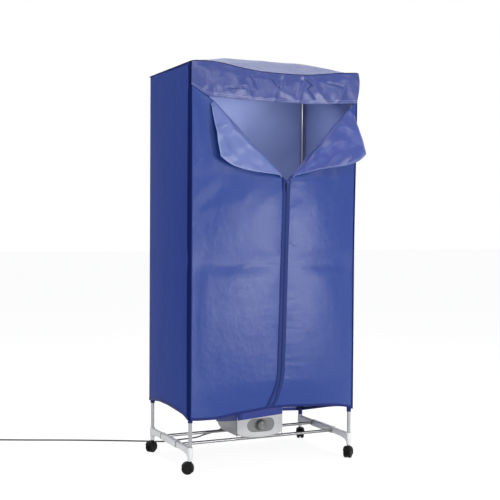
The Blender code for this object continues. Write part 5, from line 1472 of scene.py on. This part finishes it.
@dataclass
class ZipLine:
    """Zip tapes with their welts, the strip behind them where they part and the teeth."""

    shape: CoverShape
    shop: Workshop
    split_rise: float = 0.080
    split_width: float = 0.007
    tooth_pitch: float = 0.0028
    half_width: float = 0.0156
    tip_rise: float = 0.0150
    mouth_top: float = 1.410
    tape_gap: float = 0.0002
    guard_half: float = 0.0085
    guard_depth: float = 0.0012
    tooth_size: Point = (0.0020, 0.0012, 0.0010)
    top_stop: float = 0.004
    tape_wall: float = 0.0008
    wave: float = 0.0005
    section: Curve = (
        (0.0, 0.0002), (0.0022, 0.0002), (0.0030, 0.0016), (0.0076, 0.0018), (0.0120, 0.0016),
        (0.0128, 0.0004), (0.0134, 0.0003), (0.0140, 0.0008), (0.0150, 0.0009), (0.0156, 0.0002),
    )

    def middle(self, height: float) -> Vector:
        """The zip's middle on its outer face."""
        form = self.shape
        return Vector((form.zip_x(height), -form.outer_y - form.edge_bulge(height, self.mouth_top), height))

    def split(self, height: float) -> float:
        """Half the gap between the tapes near the hem."""
        below = max(1 - (height - self.shape.hem_height) / self.split_rise, 0.0)
        return self.split_width / 2 * math.sin(math.pi * min(below, 1.0)) if below else 0.0

    def tape_surface(self, sign: int) -> Surface:
        """The outer face of one tape, whose welt and edge bead follow the section."""
        form, section = self.shape, self.section

        def surface(share: float, row: float) -> Vector:
            """A point of the face, by its shares across and up."""
            spot = share * (len(section) - 1)
            index = min(int(spot), len(section) - 2)
            offset = mix(section[index][0], section[index + 1][0], spot - index)
            lift = mix(section[index][1], section[index + 1][1], spot - index)
            level = mix(form.hem_height, form.zip_top + self.tip_rise, row)
            spread = max(level - form.zip_top, 0.0)
            inset = spread + offset * (1 - spread / self.half_width)
            x = form.zip_x(level) + sign * (self.tape_gap + self.split(level) + inset)
            wave = self.wave * ripple(level * 30, offset * 200, 91.0 + sign)
            y = self.middle(level).y - lift - wave * offset / 0.014
            return Vector((x, y, form.above_hem(level, x)))

        return surface

    def guard(self, share: float, row: float) -> Vector:
        """The strip behind the tapes where they part near the hem."""
        form = self.shape
        level = mix(form.hem_height, form.hem_height + 1.4 * self.split_rise, row)
        x = form.zip_x(level) + mix(-self.guard_half, self.guard_half, share)
        return Vector((x, self.middle(level).y + self.guard_depth, form.above_hem(level, x)))

    def build_teeth(self) -> None:
        """The two rows of teeth, each half a step from the other."""
        form, pitch, teeth = self.shape, self.tooth_pitch, bmesh.new()
        for number in range(int((form.zip_top - form.hem_height - self.split_rise) / pitch)):
            level = form.zip_top - self.top_stop - number * pitch
            for sign in (-1, 1):
                middle = self.middle(level + sign * pitch / 4)
                middle.z = form.above_hem(middle.z, middle.x)
                place = Matrix.Translation(middle + Vector((sign * 0.0006, -0.0006, 0)))
                place @= Matrix.Diagonal((*self.tooth_size, 1.0))
                bmesh.ops.create_cube(teeth, size=1.0, matrix=place)
        self.shop.piece(
            "zip_teeth", teeth, ["hem_tape"], "dryer", Slot.TAPE, smooth=False, sewn_to="leaf_cloth_right"
        )

    def build(self) -> None:
        """Builds both tapes, the strip behind them and the teeth."""
        for side in Side:
            name = side.name.lower()
            shape = self.shop.sheet(27, 240, self.tape_surface(side.value), (0.016, 0.89), (0, -1, 0))
            self.shop.piece(
                f"zip_band_{name}", shape, ["zip_cloth"], "dryer", Slot.TAPE,
                replaces=[f"zip_tape_{name}"], wall=self.tape_wall, sewn_to=f"leaf_cloth_{name}",
            )
        self.shop.piece(
            "zip_guard", self.shop.sheet(7, 40, self.guard, (0.017, 0.112), (0, -1, 0)), ["cover_cloth"],
            "dryer", Slot.TAPE, wall=self.tape_wall, wall_offset=1.0, sewn_to="leaf_cloth_left",
        )
        self.build_teeth()


# Casters and base


@dataclass
class Caster:
    """A twin-wheel caster: a hood with rounded shoulders over two wheels on one axle."""

    shop: Workshop
    corner: str
    radius: float = 0.022
    half_span: float = 0.0152
    shoulder: float = 0.0060
    inner_face: float = 0.0024
    hollow: float = 0.0172
    clearance: float = 0.0008
    wall: float = 0.0013
    arc_start: float = math.radians(24)
    arc_sweep: float = math.radians(188)
    height: float = 0.048
    stem_length: float = 0.0172
    tread_depth: float = 0.0016
    spokes: int = 6
    lay_down: Matrix = field(default_factory=lambda: Matrix.Rotation(math.pi / 2, 4, "X"))

    def place(self) -> tuple[Matrix, float]:
        """Where the axle's middle is and which way it trails, and how far the trail is."""
        low, high = self.shop.cad_box(f"caster_wheels_{self.corner}")
        pole_low, pole_high = self.shop.cad_box(f"pole_lower_{self.corner}")
        axle, swivel = (low + high) / 2, (pole_low + pole_high) / 2
        trail = Vector((axle.x - swivel.x, axle.y - swivel.y, 0))
        angle = math.atan2(trail.y, trail.x)
        middle = Vector((axle.x, axle.y, self.radius))
        return Matrix.Translation(middle) @ Matrix.Rotation(angle, 4, "Z"), trail.length

    def shoulder_points(self, grow: float, count: int) -> list[tuple[float, float]]:
        """The rounded shoulder as (radius, across) points, from tread to face, grown by a distance."""
        middle_r, middle_y = self.radius - self.shoulder, self.half_span - self.shoulder
        reach = self.shoulder + grow
        angles = [share * math.pi / 2 for share in steps(count)]
        return [(middle_r + reach * math.cos(angle), middle_y + reach * math.sin(angle)) for angle in angles]

    def build(self) -> None:
        """Builds the hood and the wheels."""
        place, trail = self.place()
        self.build_hood(place, trail)
        self.build_wheels(place)

    def build_hood(self, place: Matrix, trail: float) -> None:
        """The hood with its web, neck and stem."""
        inner = self.shoulder_points(self.clearance, 6)
        outer = self.shoulder_points(self.clearance + self.wall, 6)
        half_section = outer + inner[::-1]
        section = [(r, -y) for r, y in reversed(half_section)] + half_section
        shell = bmesh.new()
        ahead, up = math.cos(self.arc_start), math.sin(self.arc_start)
        face = shell.faces.new([shell.verts.new((r * ahead, y, r * up)) for r, y in section])
        bmesh.ops.spin(
            shell, geom=[face, *face.edges, *face.verts], cent=(0, 0, 0), axis=(0, -1, 0),
            angle=self.arc_sweep, steps=30, use_merge=False,
        )
        bmesh.ops.remove_doubles(shell, verts=shell.verts, dist=0.00001)
        bmesh.ops.recalc_face_normals(shell, faces=shell.faces)
        disks = []
        for radius, half, sides in ((0.0168, 0.0020, 40), (0.0070, 0.0082, 28)):
            disk = self.shop.turned(((0.0, -half), (radius, -half), (radius, half), (0.0, half)), sides)
            disks.append(self.shop.moved(disk, self.lay_down))
        tower = bmesh.new()
        top = self.height - self.radius
        self.shop.box(tower, (-trail - 0.0064, -0.0020, 0.0120), (-trail + 0.0064, 0.0020, top - 0.0004))
        neck = self.shop.turned(
            (
                (0.0, 0.0222), (0.0052, 0.0222), (0.0066, 0.0236), (0.0066, top - 0.0006),
                (0.0040, top - 0.0003), (0.0040, top + self.stem_length), (0.0, top + self.stem_length),
            ),
            28,
        )
        self.shop.moved(neck, Matrix.Translation((-trail, 0, 0)))
        self.shop.piece(
            f"caster_hood_cover_{self.corner}", self.shop.merged((shell, *disks, tower, neck)),
            ["caster_black"], f"caster_{self.corner}", Slot.BLACK_PLASTIC,
            replaces=[f"caster_hood_{self.corner}"], matrix=place,
        )

    def build_wheels(self, place: Matrix) -> None:
        """Two wheels with rounded shoulders, spokes and hub caps, on their axle."""
        shapes, face = [], self.half_span
        for sign in (-1, 1):
            outline = [
                (0.0030, 0.0090), (self.hollow, 0.0090), (self.hollow, self.inner_face + 0.0002),
                (self.radius - 0.0006, self.inner_face), (self.radius, self.inner_face + 0.0006),
                *self.shoulder_points(0.0, 8), (0.0150, face), (0.0144, face - 0.0012),
                (0.0086, face - 0.0012), (0.0080, face - 0.0002), (0.0050, face + 0.0004),
                (0.0030, face + 0.0005),
            ]
            wheel = self.shop.turned([(r, sign * y) for r, y in outline], 48)
            for number in range(self.spokes):
                turn = Matrix.Rotation(math.tau * number / self.spokes, 4, "Z")
                ends = sorted((sign * (face - 0.0014), sign * (face - 0.0003)))
                self.shop.box(wheel, (0.0078, -0.0010, ends[0]), (0.0150, 0.0010, ends[1]), turn)
            shapes.append(wheel)
        end = face + 0.0008
        rim = [(0.0030, end - 0.0006), (0.0022, end), (0.0, end)]
        shapes.append(self.shop.turned([(r, -y) for r, y in reversed(rim)] + rim, 20))
        whole = self.shop.merged(shapes)
        for patch in whole.faces:
            middle = patch.calc_center_median()
            patch.material_index = int(math.hypot(middle.x, middle.y) > self.radius - self.tread_depth)
        self.shop.moved(whole, self.lay_down)
        bmesh.ops.recalc_face_normals(whole, faces=whole.faces)
        self.shop.piece(
            f"caster_wheel_pair_{self.corner}", whole, ["caster_black", "tread_black"],
            f"wheels_{self.corner}", Slot.BLACK_PLASTIC, replaces=[f"caster_wheels_{self.corner}"],
            matrix=place,
        )


@dataclass
class BaseTrim:
    """The seams round the side beams, where the crossbars' sleeves end."""

    shop: Workshop
    seam_places: tuple[float, float] = (-0.079, 0.083)
    width: float = 0.0016
    proud: float = 0.0003
    rounding: float = 0.0058

    def build(self) -> None:
        """Builds the seam rings of both beams."""
        for side in ("left", "right"):
            low, high = self.shop.cad_box(f"side_beam_{side}")
            rings = []
            for y in self.seam_places:
                ring = bmesh.new()
                grow = Vector((self.proud, 0.0, self.proud))
                start = Vector((low.x, y - self.width / 2, low.z)) - grow
                end = Vector((high.x, y + self.width / 2, high.z)) + grow
                self.shop.box(ring, tuple(start), tuple(end))
                long_edges = [edge for edge in ring.edges if edge.verts[0].co.y != edge.verts[1].co.y]
                bmesh.ops.bevel(
                    ring, geom=long_edges, offset=self.rounding, segments=6, profile=0.5, affect="EDGES",
                    material=-1,
                )
                rings.append(ring)
            self.shop.piece(
                f"beam_seams_{side}", self.shop.merged(rings), ["seam_grey"], "dryer", Slot.WHITE_PLASTIC
            )


# Heater front


@dataclass
class HeaterFront:
    """The timer knob, its ticks, the case's dark joint and the fascia's small moulded rings."""

    shop: Workshop
    bow: float = 0.0095
    case_half_width: float = 0.0975
    case_front: float = -0.0900
    flutes: int = 28
    tick_count: int = 11
    tick_range: float = math.radians(300)
    tick_radius: float = 0.0242

    def build(self) -> None:
        """Builds every piece of the front."""
        low, high = self.shop.cad_box("timer_knob")
        middle = Vector(((low.x + high.x) / 2, high.y, (low.z + high.z - 0.0002) / 2))
        place = Matrix.Translation(middle) @ Matrix.Rotation(math.pi / 2, 4, "X")
        self.build_knob(place)
        self.build_ticks(place)
        self.build_joint()
        self.build_rings(middle.z)

    def build_knob(self, place: Matrix) -> None:
        """The knob: a skirt, a fluted grip, a dished face and a pale pointer."""
        outline = (
            (0.0032, 0.0002), (0.0222, 0.0002), (0.0222, 0.0018), (0.0212, 0.0030), (0.0196, 0.0036),
            (0.0188, 0.0150), (0.0182, 0.0172), (0.0168, 0.0184), (0.0150, 0.0184), (0.0138, 0.0176),
            (0.0060, 0.0174), (0.0, 0.0174),
        )
        knob = self.shop.turned([(0.0, 0.0110), (0.0032, 0.0110), *outline], 64)
        for number in range(self.flutes):
            turn = Matrix.Rotation(math.tau * number / self.flutes, 4, "Z")
            self.shop.box(knob, (0.0180, -0.0006, 0.0040), (0.0197, 0.0006, 0.0156), turn)
        self.shop.piece(
            "timer_knob_grip", knob, ["knob_grey"], "timer_dial", Slot.GREY_PLASTIC,
            replaces=["timer_knob"], matrix=place,
        )
        pointer = bmesh.new()
        self.shop.box(pointer, (-0.0008, 0.0070, 0.0170), (0.0008, 0.0134, 0.01785))
        self.shop.piece(
            "timer_knob_pointer", pointer, ["knob_mark"], "timer_dial", Slot.PALE_PLASTIC, matrix=place
        )

    def build_ticks(self, place: Matrix) -> None:
        """Plain tick marks round the knob, one for each step of the timer."""
        ticks = bmesh.new()
        for number in range(self.tick_count):
            share = number / (self.tick_count - 1)
            turn = Matrix.Rotation(-self.tick_range * share, 4, "Z")
            long = 0.0016 if number % 5 else 0.0022
            low, high = (-0.0003, self.tick_radius - long, -0.0004), (0.0003, self.tick_radius, 0.0)
            self.shop.box(ticks, low, high, turn)
        self.shop.piece(
            "timer_ticks", ticks, ["knob_mark"], "dryer", Slot.PALE_PLASTIC, matrix=place, smooth=False
        )

    def build_joint(self) -> None:
        """The dark joint between the case and its front plate."""
        low = self.shop.cad_box("heater_case_lower")[0]
        top = self.shop.cad_box("heater_case_upper")[1].z
        half, front, rear = self.case_half_width + 0.0004, self.case_front, self.case_front + 0.0011
        joint = bmesh.new()
        for sign in (-1, 1):
            ends = sorted((sign * half, sign * (half - 0.0016)))
            self.shop.box(joint, (ends[0], front, low.z + 0.002), (ends[1], rear, top - 0.004))
        self.shop.box(joint, (-half + 0.006, front, low.z - 0.0003), (half - 0.006, rear, low.z + 0.001))
        self.shop.piece("case_joint", joint, ["joint_dark"], "dryer", Slot.DARK_PLASTIC, smooth=False)

    def build_rings(self, level: float) -> None:
        """Three small moulded rings at the plate's right end."""
        low = self.shop.cad_box("heater_fascia")[0]
        outline = (
            (0.0021, -0.0006), (0.0033, -0.0006), (0.0033, 0.0002), (0.0030, 0.0005), (0.0024, 0.0005),
            (0.0021, 0.0002),
        )
        rings = []
        for x, rise in ((0.0790, 0.0170), (0.0800, 0.0010), (0.0790, -0.0170)):
            y = low.y + self.bow * (x / self.case_half_width) ** 2
            ring = self.shop.turned(outline, 28)
            lean = math.atan(2 * self.bow * x / self.case_half_width**2)
            turn = Matrix.Rotation(lean, 4, "Z") @ Matrix.Rotation(math.pi / 2, 4, "X")
            rings.append(self.shop.moved(ring, Matrix.Translation((x, y, level + rise)) @ turn))
        self.shop.piece("fascia_rings", self.shop.merged(rings), ["moulded_mark"], "dryer", Slot.PALE_PLASTIC)


# Stage


@dataclass(frozen=True)
class Lamp:
    """A soft area lamp and the point that it is aimed at."""

    name: str
    place: Point
    target: Point
    size: tuple[float, float]
    power: float


@dataclass
class Studio:
    """Camera, lamps, world and floor."""

    origin: Vector
    yaw: float = 25.393
    pitch: float = 1.353
    roll: float = 0.354
    place: Point = (-1.6996, -3.5734, 0.9064)
    focal_pixels: float = 999.7
    frame_pixels: float = 500.0
    sensor: float = 36.0
    floor_reach: float = 30.0
    lamps: Sequence[Lamp] = (
        Lamp("key_softbox", (1.368, -3.759, 0.62), (0.0, 0.0, 0.62), (0.6, 1.1), 54.0),
        Lamp("low_softbox", (1.878, -3.532, 0.35), (0.0, 0.0, 0.4), (1.2, 0.5), 8.0),
        Lamp("high_left_softbox", (-0.35, -3.985, 2.9), (0.0, 0.0, 0.8), (0.9, 0.6), 20.0),
        Lamp("high_right_softbox", (2.0, -3.464, 2.9), (0.0, 0.0, 0.8), (0.8, 0.6), 14.0),
        Lamp("side_softbox", (-3.464, -2.0, 1.1), (0.0, 0.0, 0.8), (0.7, 2.0), 34.0),
        Lamp("top_softbox", (0.1, 0.3, 3.6), (0.0, 0.0, 1.2), (2.6, 2.0), 62.0),
        Lamp("chamber_fill", (0.0, -0.02, 1.42), (0.0, 0.22, 1.0), (0.5, 0.1), 0.8),
    )

    def build(self) -> None:
        """Builds the stage."""
        scene = bpy.context.scene
        scene.view_settings.view_transform = "Standard"
        self.build_camera(scene)
        self.build_world(scene)
        self.build_floor()
        for lamp in self.lamps:
            self.build_lamp(lamp)

    def build_camera(self, scene: bpy.types.Scene) -> None:
        """The camera at the photograph's viewpoint."""
        yaw, pitch, roll = (math.radians(value) for value in (self.yaw, self.pitch, self.roll))
        ahead = Vector((math.sin(yaw) * math.cos(pitch), math.cos(yaw) * math.cos(pitch), -math.sin(pitch)))
        right = Vector((math.cos(yaw), -math.sin(yaw), 0))
        up = right.cross(ahead)
        tilted_right = right * math.cos(roll) + up * math.sin(roll)
        tilted_up = up * math.cos(roll) - right * math.sin(roll)
        data = bpy.data.cameras.new("camera")
        data.sensor_width = self.sensor
        data.lens = self.focal_pixels / self.frame_pixels * self.sensor
        data.clip_end = 100.0
        camera = in_scene("camera", data)
        matrix = Matrix((tilted_right, tilted_up, -ahead)).transposed().to_4x4()
        matrix.translation = Vector(self.place) + self.origin
        camera.matrix_world = matrix
        scene.camera = camera

    @staticmethod
    def seen(tree: bpy.types.NodeTree) -> bpy.types.NodeSocket:
        """1 for the camera's rays and for those that gloss or glass sends on."""
        path = add(tree, "LightPath").outputs
        glossy = calculate(tree, "MAXIMUM", path["Is Camera Ray"], path["Is Glossy Ray"])
        return calculate(tree, "MAXIMUM", glossy, path["Is Transmission Ray"])

    @staticmethod
    def build_world(scene: bpy.types.Scene) -> None:
        """A plain world: white to the camera and to gloss, softer as a light."""
        scene.world = bpy.data.worlds.new("studio")
        scene.world.use_nodes = True
        tree = scene.world.node_tree
        back = tree.nodes["Background"]
        feed(tree, back, {"Color": (0.93, 0.95, 1.0, 1.0), "Strength": 0.25})
        bright = add(tree, "Background", {"Color": (1.0, 1.0, 1.0, 1.0), "Strength": 1.0})
        blend = add(tree, "MixShader", {"Fac": Studio.seen(tree), 1: back.outputs[0], 2: bright.outputs[0]})
        feed(tree, tree.nodes["World Output"], {"Surface": blend.outputs[0]})

    def build_floor(self) -> None:
        """A pale floor that keeps a faint shadow."""
        shape = bmesh.new()
        bmesh.ops.create_grid(shape, x_segments=1, y_segments=1, size=self.floor_reach)
        mesh = bpy.data.meshes.new("studio_floor")
        shape.to_mesh(mesh)
        shape.free()
        material, tree, shader = Finish.start("studio_floor")
        pale = (0.92, 0.92, 0.92, 1.0)
        feed(tree, shader, {"Base Color": pale, "Roughness": 0.9, "Specular IOR Level": 0.1})
        glow = add(tree, "Emission", {"Strength": 1.22})
        share = calculate(tree, "MULTIPLY", self.seen(tree), 0.74)
        blend = add(tree, "MixShader", {"Fac": share, 1: shader.outputs[0], 2: glow.outputs[0]})
        feed(tree, tree.nodes["Material Output"], {"Surface": blend.outputs[0]})
        mesh.materials.append(material)
        floor = in_scene("studio_floor", mesh)

    def build_lamp(self, plan: Lamp) -> None:
        """One lamp, set and aimed."""
        data = bpy.data.lights.new(plan.name, "AREA")
        data.shape = "RECTANGLE"
        data.size, data.size_y = plan.size
        data.energy = plan.power
        lamp = in_scene(plan.name, data)
        start, end = Vector(plan.place) + self.origin, Vector(plan.target) + self.origin
        lamp.location = start
        lamp.rotation_mode = "QUATERNION"
        lamp.rotation_quaternion = (end - start).to_track_quat("-Z", "Y")


# Cord


@dataclass
class MainsCord:
    """The mains lead from the heater over the floor to its coil and plug."""

    shop: Workshop
    diameter: float = 0.006
    exit: Point = (-0.015, 0.1506, 0.12565)
    spacing: float = 0.009
    coil_radius: float = 0.036
    layer_turns: float = 1.4
    climb_turns: float = 0.5
    dip: float = 0.35
    gap: float = 0.0009
    loop_points: int = 40
    relief_foot: float = 0.1203
    relief_length: float = 0.030
    relief_ribs: int = 7
    plug_flatness: float = 0.68
    plug_ribs: int = 4
    pin_offset: float = 0.0095
    route: Sequence[Point] = (
        (-0.0150, 0.1730, 0.1242),
        (-0.0160, 0.1860, 0.1130),
        (-0.0190, 0.1960, 0.0940),
        (-0.0260, 0.2080, 0.0720),
        (-0.0400, 0.2240, 0.0560),
        (-0.0600, 0.2480, 0.0445),
        (-0.0780, 0.2760, 0.0330),
        (-0.0920, 0.3100, 0.0180),
        (-0.1130, 0.3380, 0.0085),
        (-0.1420, 0.3520, 0.0042),
        (-0.1680, 0.3530, 0.0034),
        (-0.2290, 0.3440, 0.0034),
        (-0.3060, 0.3840, 0.0034),
        (-0.4280, 0.4500, 0.0034),
        (-0.5180, 0.4960, 0.0034),
        (-0.6130, 0.5420, 0.0034),
        (-0.7350, 0.5970, 0.0034),
        (-0.8600, 0.6560, 0.0034),
        (-0.9060, 0.6800, 0.0034),
    )

    @staticmethod
    def smooth(points: Sequence[Vector], spacing: float) -> list[Vector]:
        """Evenly spaced points on one smooth curve through the given ones."""
        ends = [2 * points[0] - points[1], *points, 2 * points[-1] - points[-2]]
        fine: list[Vector] = []
        for before, start, end, after in zip(ends, ends[1:], ends[2:], ends[3:]):
            square = 2 * before - 5 * start + 4 * end - after
            cube = 3 * start - before - 3 * end + after
            for share in steps(24)[:-1]:
                fine.append(0.5 * (2 * start + (end - before) * share + square * share**2 + cube * share**3))
        fine.append(points[-1])
        lengths = [0.0]
        for start, end in zip(fine, fine[1:]):
            lengths.append(lengths[-1] + (end - start).length)
        count = round(lengths[-1] / spacing)
        even: list[Vector] = []
        index = 0
        for step in range(count + 1):
            target = lengths[-1] * step / count
            while index < len(fine) - 2 and lengths[index + 1] < target:
                index += 1
            span = lengths[index + 1] - lengths[index]
            even.append(fine[index].lerp(fine[index + 1], (target - lengths[index]) / span))
        return even

    def coil(self, entry: Vector, heading: Vector) -> list[Vector]:
        """The coil: it winds in, climbs and winds out on top."""
        pitch = self.diameter + self.gap
        aside = heading.cross(Vector((0, 0, 1))).normalized()
        centre = entry + aside * self.coil_radius
        start = math.atan2(-aside.y, -aside.x)
        points: list[Vector] = []
        total = 2 * self.layer_turns + self.climb_turns
        for index in range(int(total * self.loop_points) + 1):
            turn = index / self.loop_points
            climb = ease((turn - self.layer_turns) / self.climb_turns)
            inward = min(turn, self.layer_turns) + self.dip * math.sin(math.pi * climb)
            outward = max(turn - self.layer_turns - self.climb_turns, 0.0)
            radius = self.coil_radius - pitch * (inward - outward)
            angle = start - math.tau * turn
            around = Vector((radius * math.cos(angle), radius * math.sin(angle), pitch * climb))
            points.append(centre + around)
        points.append(points[-1] + (points[-1] - points[-2]).normalized() * self.diameter)
        return points

    def build(self) -> None:
        tip = Vector(self.exit)
        route = [tip, tip + Vector((0, 2 * self.diameter, 0))] + [Vector(point) for point in self.route]
        path = self.smooth(route, self.spacing)
        heading = (path[-1] - path[-2]).normalized()
        path.append(path[-1] + heading * self.diameter)
        coil = self.coil(path[-1] + heading * self.diameter, heading)
        path += coil
        curve = bpy.data.curves.new("mains_cord", "CURVE")
        curve.dimensions = "3D"
        curve.bevel_depth = self.diameter / 2
        curve.bevel_resolution = 4
        curve.use_fill_caps = True
        line = curve.splines.new("POLY")
        line.points.add(len(path) - 1)
        for target, point in zip(line.points, path):
            target.co = (*(point + self.shop.origin), 1)
        curve.materials.append(self.shop.finishes["cord_black"])
        cord = in_scene("mains_cord", curve)
        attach(cord, "dryer")
        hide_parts("cord_lead", "cord_coil")
        plug = self.build_plug(coil[-1], (coil[-1] - coil[-2]).normalized())
        self.build_relief()
        length = sum((b - a).length for a, b in zip(path, path[1:]))
        log.info("mains_cord: %.3f m", length)

    def build_relief(self) -> None:
        """The ribbed, tapered strain relief."""
        length, ribs = self.relief_length, self.relief_ribs
        outline: list[tuple[float, float]] = []
        for rib in range(ribs):
            low, high = length * rib / ribs, length * (rib + 0.72) / ribs
            radius = mix(0.0060, 0.0040, rib / (ribs - 1))
            foot = radius - 0.0009
            outline += [(foot, low), (radius, low + 0.0005), (radius, high), (foot, high + 0.0004)]
        outline += [(0.0031, length), (0.0031, 0.0)]
        shape = self.shop.turned(outline, 28)
        place = Matrix.Translation((self.exit[0], self.relief_foot, self.exit[2]))
        self.shop.piece(
            "strain_relief", shape, ["cord_black"], "dryer", Slot.BLACK_PLASTIC,
            replaces=["cord_strain_relief"], matrix=place @ Matrix.Rotation(-math.pi / 2, 4, "X"),
        )

    def build_plug(self, root: Vector, heading: Vector) -> list[bpy.types.Object]:
        """The plug's moulded body and its two pins."""
        root = root + heading * 0.0003
        turn = heading.to_track_quat("Z", "Y").to_matrix().to_4x4()
        place = Matrix.Translation(root) @ turn @ Matrix.Scale(self.plug_flatness, 4, (0, 1, 0))
        outline: list[tuple[float, float]] = [(0.0, 0.0), (0.0036, 0.0)]
        for rib in range(self.plug_ribs):
            low = 0.0035 * rib
            radius = mix(0.0050, 0.0062, rib / (self.plug_ribs - 1))
            outline += [(radius, low + 0.0004), (radius, low + 0.0022), (radius - 0.001, low + 0.0027)]
        outline += [
            (0.0088, 0.0172), (0.0108, 0.0200), (0.0122, 0.0270), (0.0125, 0.0340),
            (0.0125, 0.0470), (0.0119, 0.0505), (0.0104, 0.0520), (0.0, 0.0520),
        ]
        shape = self.shop.turned(outline, 36)
        body = self.shop.piece(
            "plug_body", shape, ["cord_black"], "dryer", Slot.BLACK_PLASTIC, replaces=["mains_plug"],
            matrix=place,
        )
        pin_outline = (
            (0.0, 0.0505), (0.0020, 0.0505), (0.0020, 0.0690), (0.0016, 0.0704), (0.0008, 0.0710),
            (0.0, 0.0710),
        )
        pins = []
        for sign in (-1, 1):
            pin = self.shop.turned(pin_outline, 16)
            pins.append(self.shop.moved(pin, Matrix.Translation((sign * self.pin_offset, 0, 0))))
        metal = self.shop.piece(
            "plug_pins", self.shop.merged(pins), ["pin_brass"], "dryer", Slot.CHROME,
            matrix=Matrix.Translation(root) @ turn,
        )
        return [body, metal]


# Finishes of the CAD nodes that stay


NODE_FINISHES: Sequence[tuple[str, str]] = (
    ("corner_bracket", "white_moulding"), ("side_beam", "white_moulding"),
    ("top_connector", "white_moulding"), ("crossbar", "bar_chrome"), ("top_side_rail", "bar_chrome"),
    ("hanging_rail", "bar_chrome"), ("pole_", "pole_chrome"), ("caster_hood", "caster_black"),
    ("caster_wheels", "tread_black"), ("heater_case", "case_grey"), ("heater_fascia", "fascia_pale"),
    ("dial_plate", "dial_grey"), ("timer_knob", "knob_grey"), ("timer_switch", "grille_dark"),
    ("outlet_grille", "grille_dark"), ("fan_impeller", "grille_dark"), ("fan_motor", "bar_chrome"),
    ("heating_element", "element_metal"), ("zip_pull", "pull_metal"), ("zip_", "slider_enamel"),
    ("cover_", "cover_cloth"), ("lapel_", "lapel_cloth"), ("cord_", "cord_black"),
    ("mains_plug", "cord_black"),
)


def dress_nodes(nodes: dict[str, bpy.types.Object], finishes: dict[str, bpy.types.Material]) -> None:
    """Gives each CAD node its procedural material, by the first start of a name that fits."""
    for name, made in nodes.items():
        finish = next((finish for start, finish in NODE_FINISHES if name.startswith(start)), None)
        if finish:
            made.data.materials.clear()
            made.data.materials.append(finishes[finish])


def frame_middle() -> Vector:
    """The middle of the tube frame in the row frame, read from its poles."""
    middles = [sum(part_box(f"pole_lower_{corner}"), Vector()) / 2 for corner in ("fl", "fr", "bl", "br")]
    middle = sum(middles, Vector()) / 4
    return Vector((middle.x, middle.y, 0.0))


def main() -> None:
    """Builds the looks in order."""
    logging.basicConfig(level=logging.INFO, format="%(message)s")
    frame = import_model()
    origin = frame_middle()
    Studio(origin).build()
    effects = Effects()
    finishes = {finish.name: finish.build(effects) for finish in FINISHES}
    shop = Workshop(origin, finishes)
    dress_nodes(frame["nodes"], finishes)
    MainsCord(shop).build()
    form = CoverShape()
    panels = CoverPanels(form, shop)
    panels.build()
    HeaderBand(form, shop).build()
    for side, plan in CORNER_PLANS.items():
        DoorCorner(form, shop, side, plan).build()
    CoverTrim(form, panels, shop).build()
    ZipLine(form, shop).build()
    shop.declare()
    for corner in ("fl", "fr", "bl", "br"):
        Caster(shop, corner).build()
    BaseTrim(shop).build()
    HeaterFront(shop).build()
    bpy.context.view_layer.update()


if __name__ == "__main__":
    main()
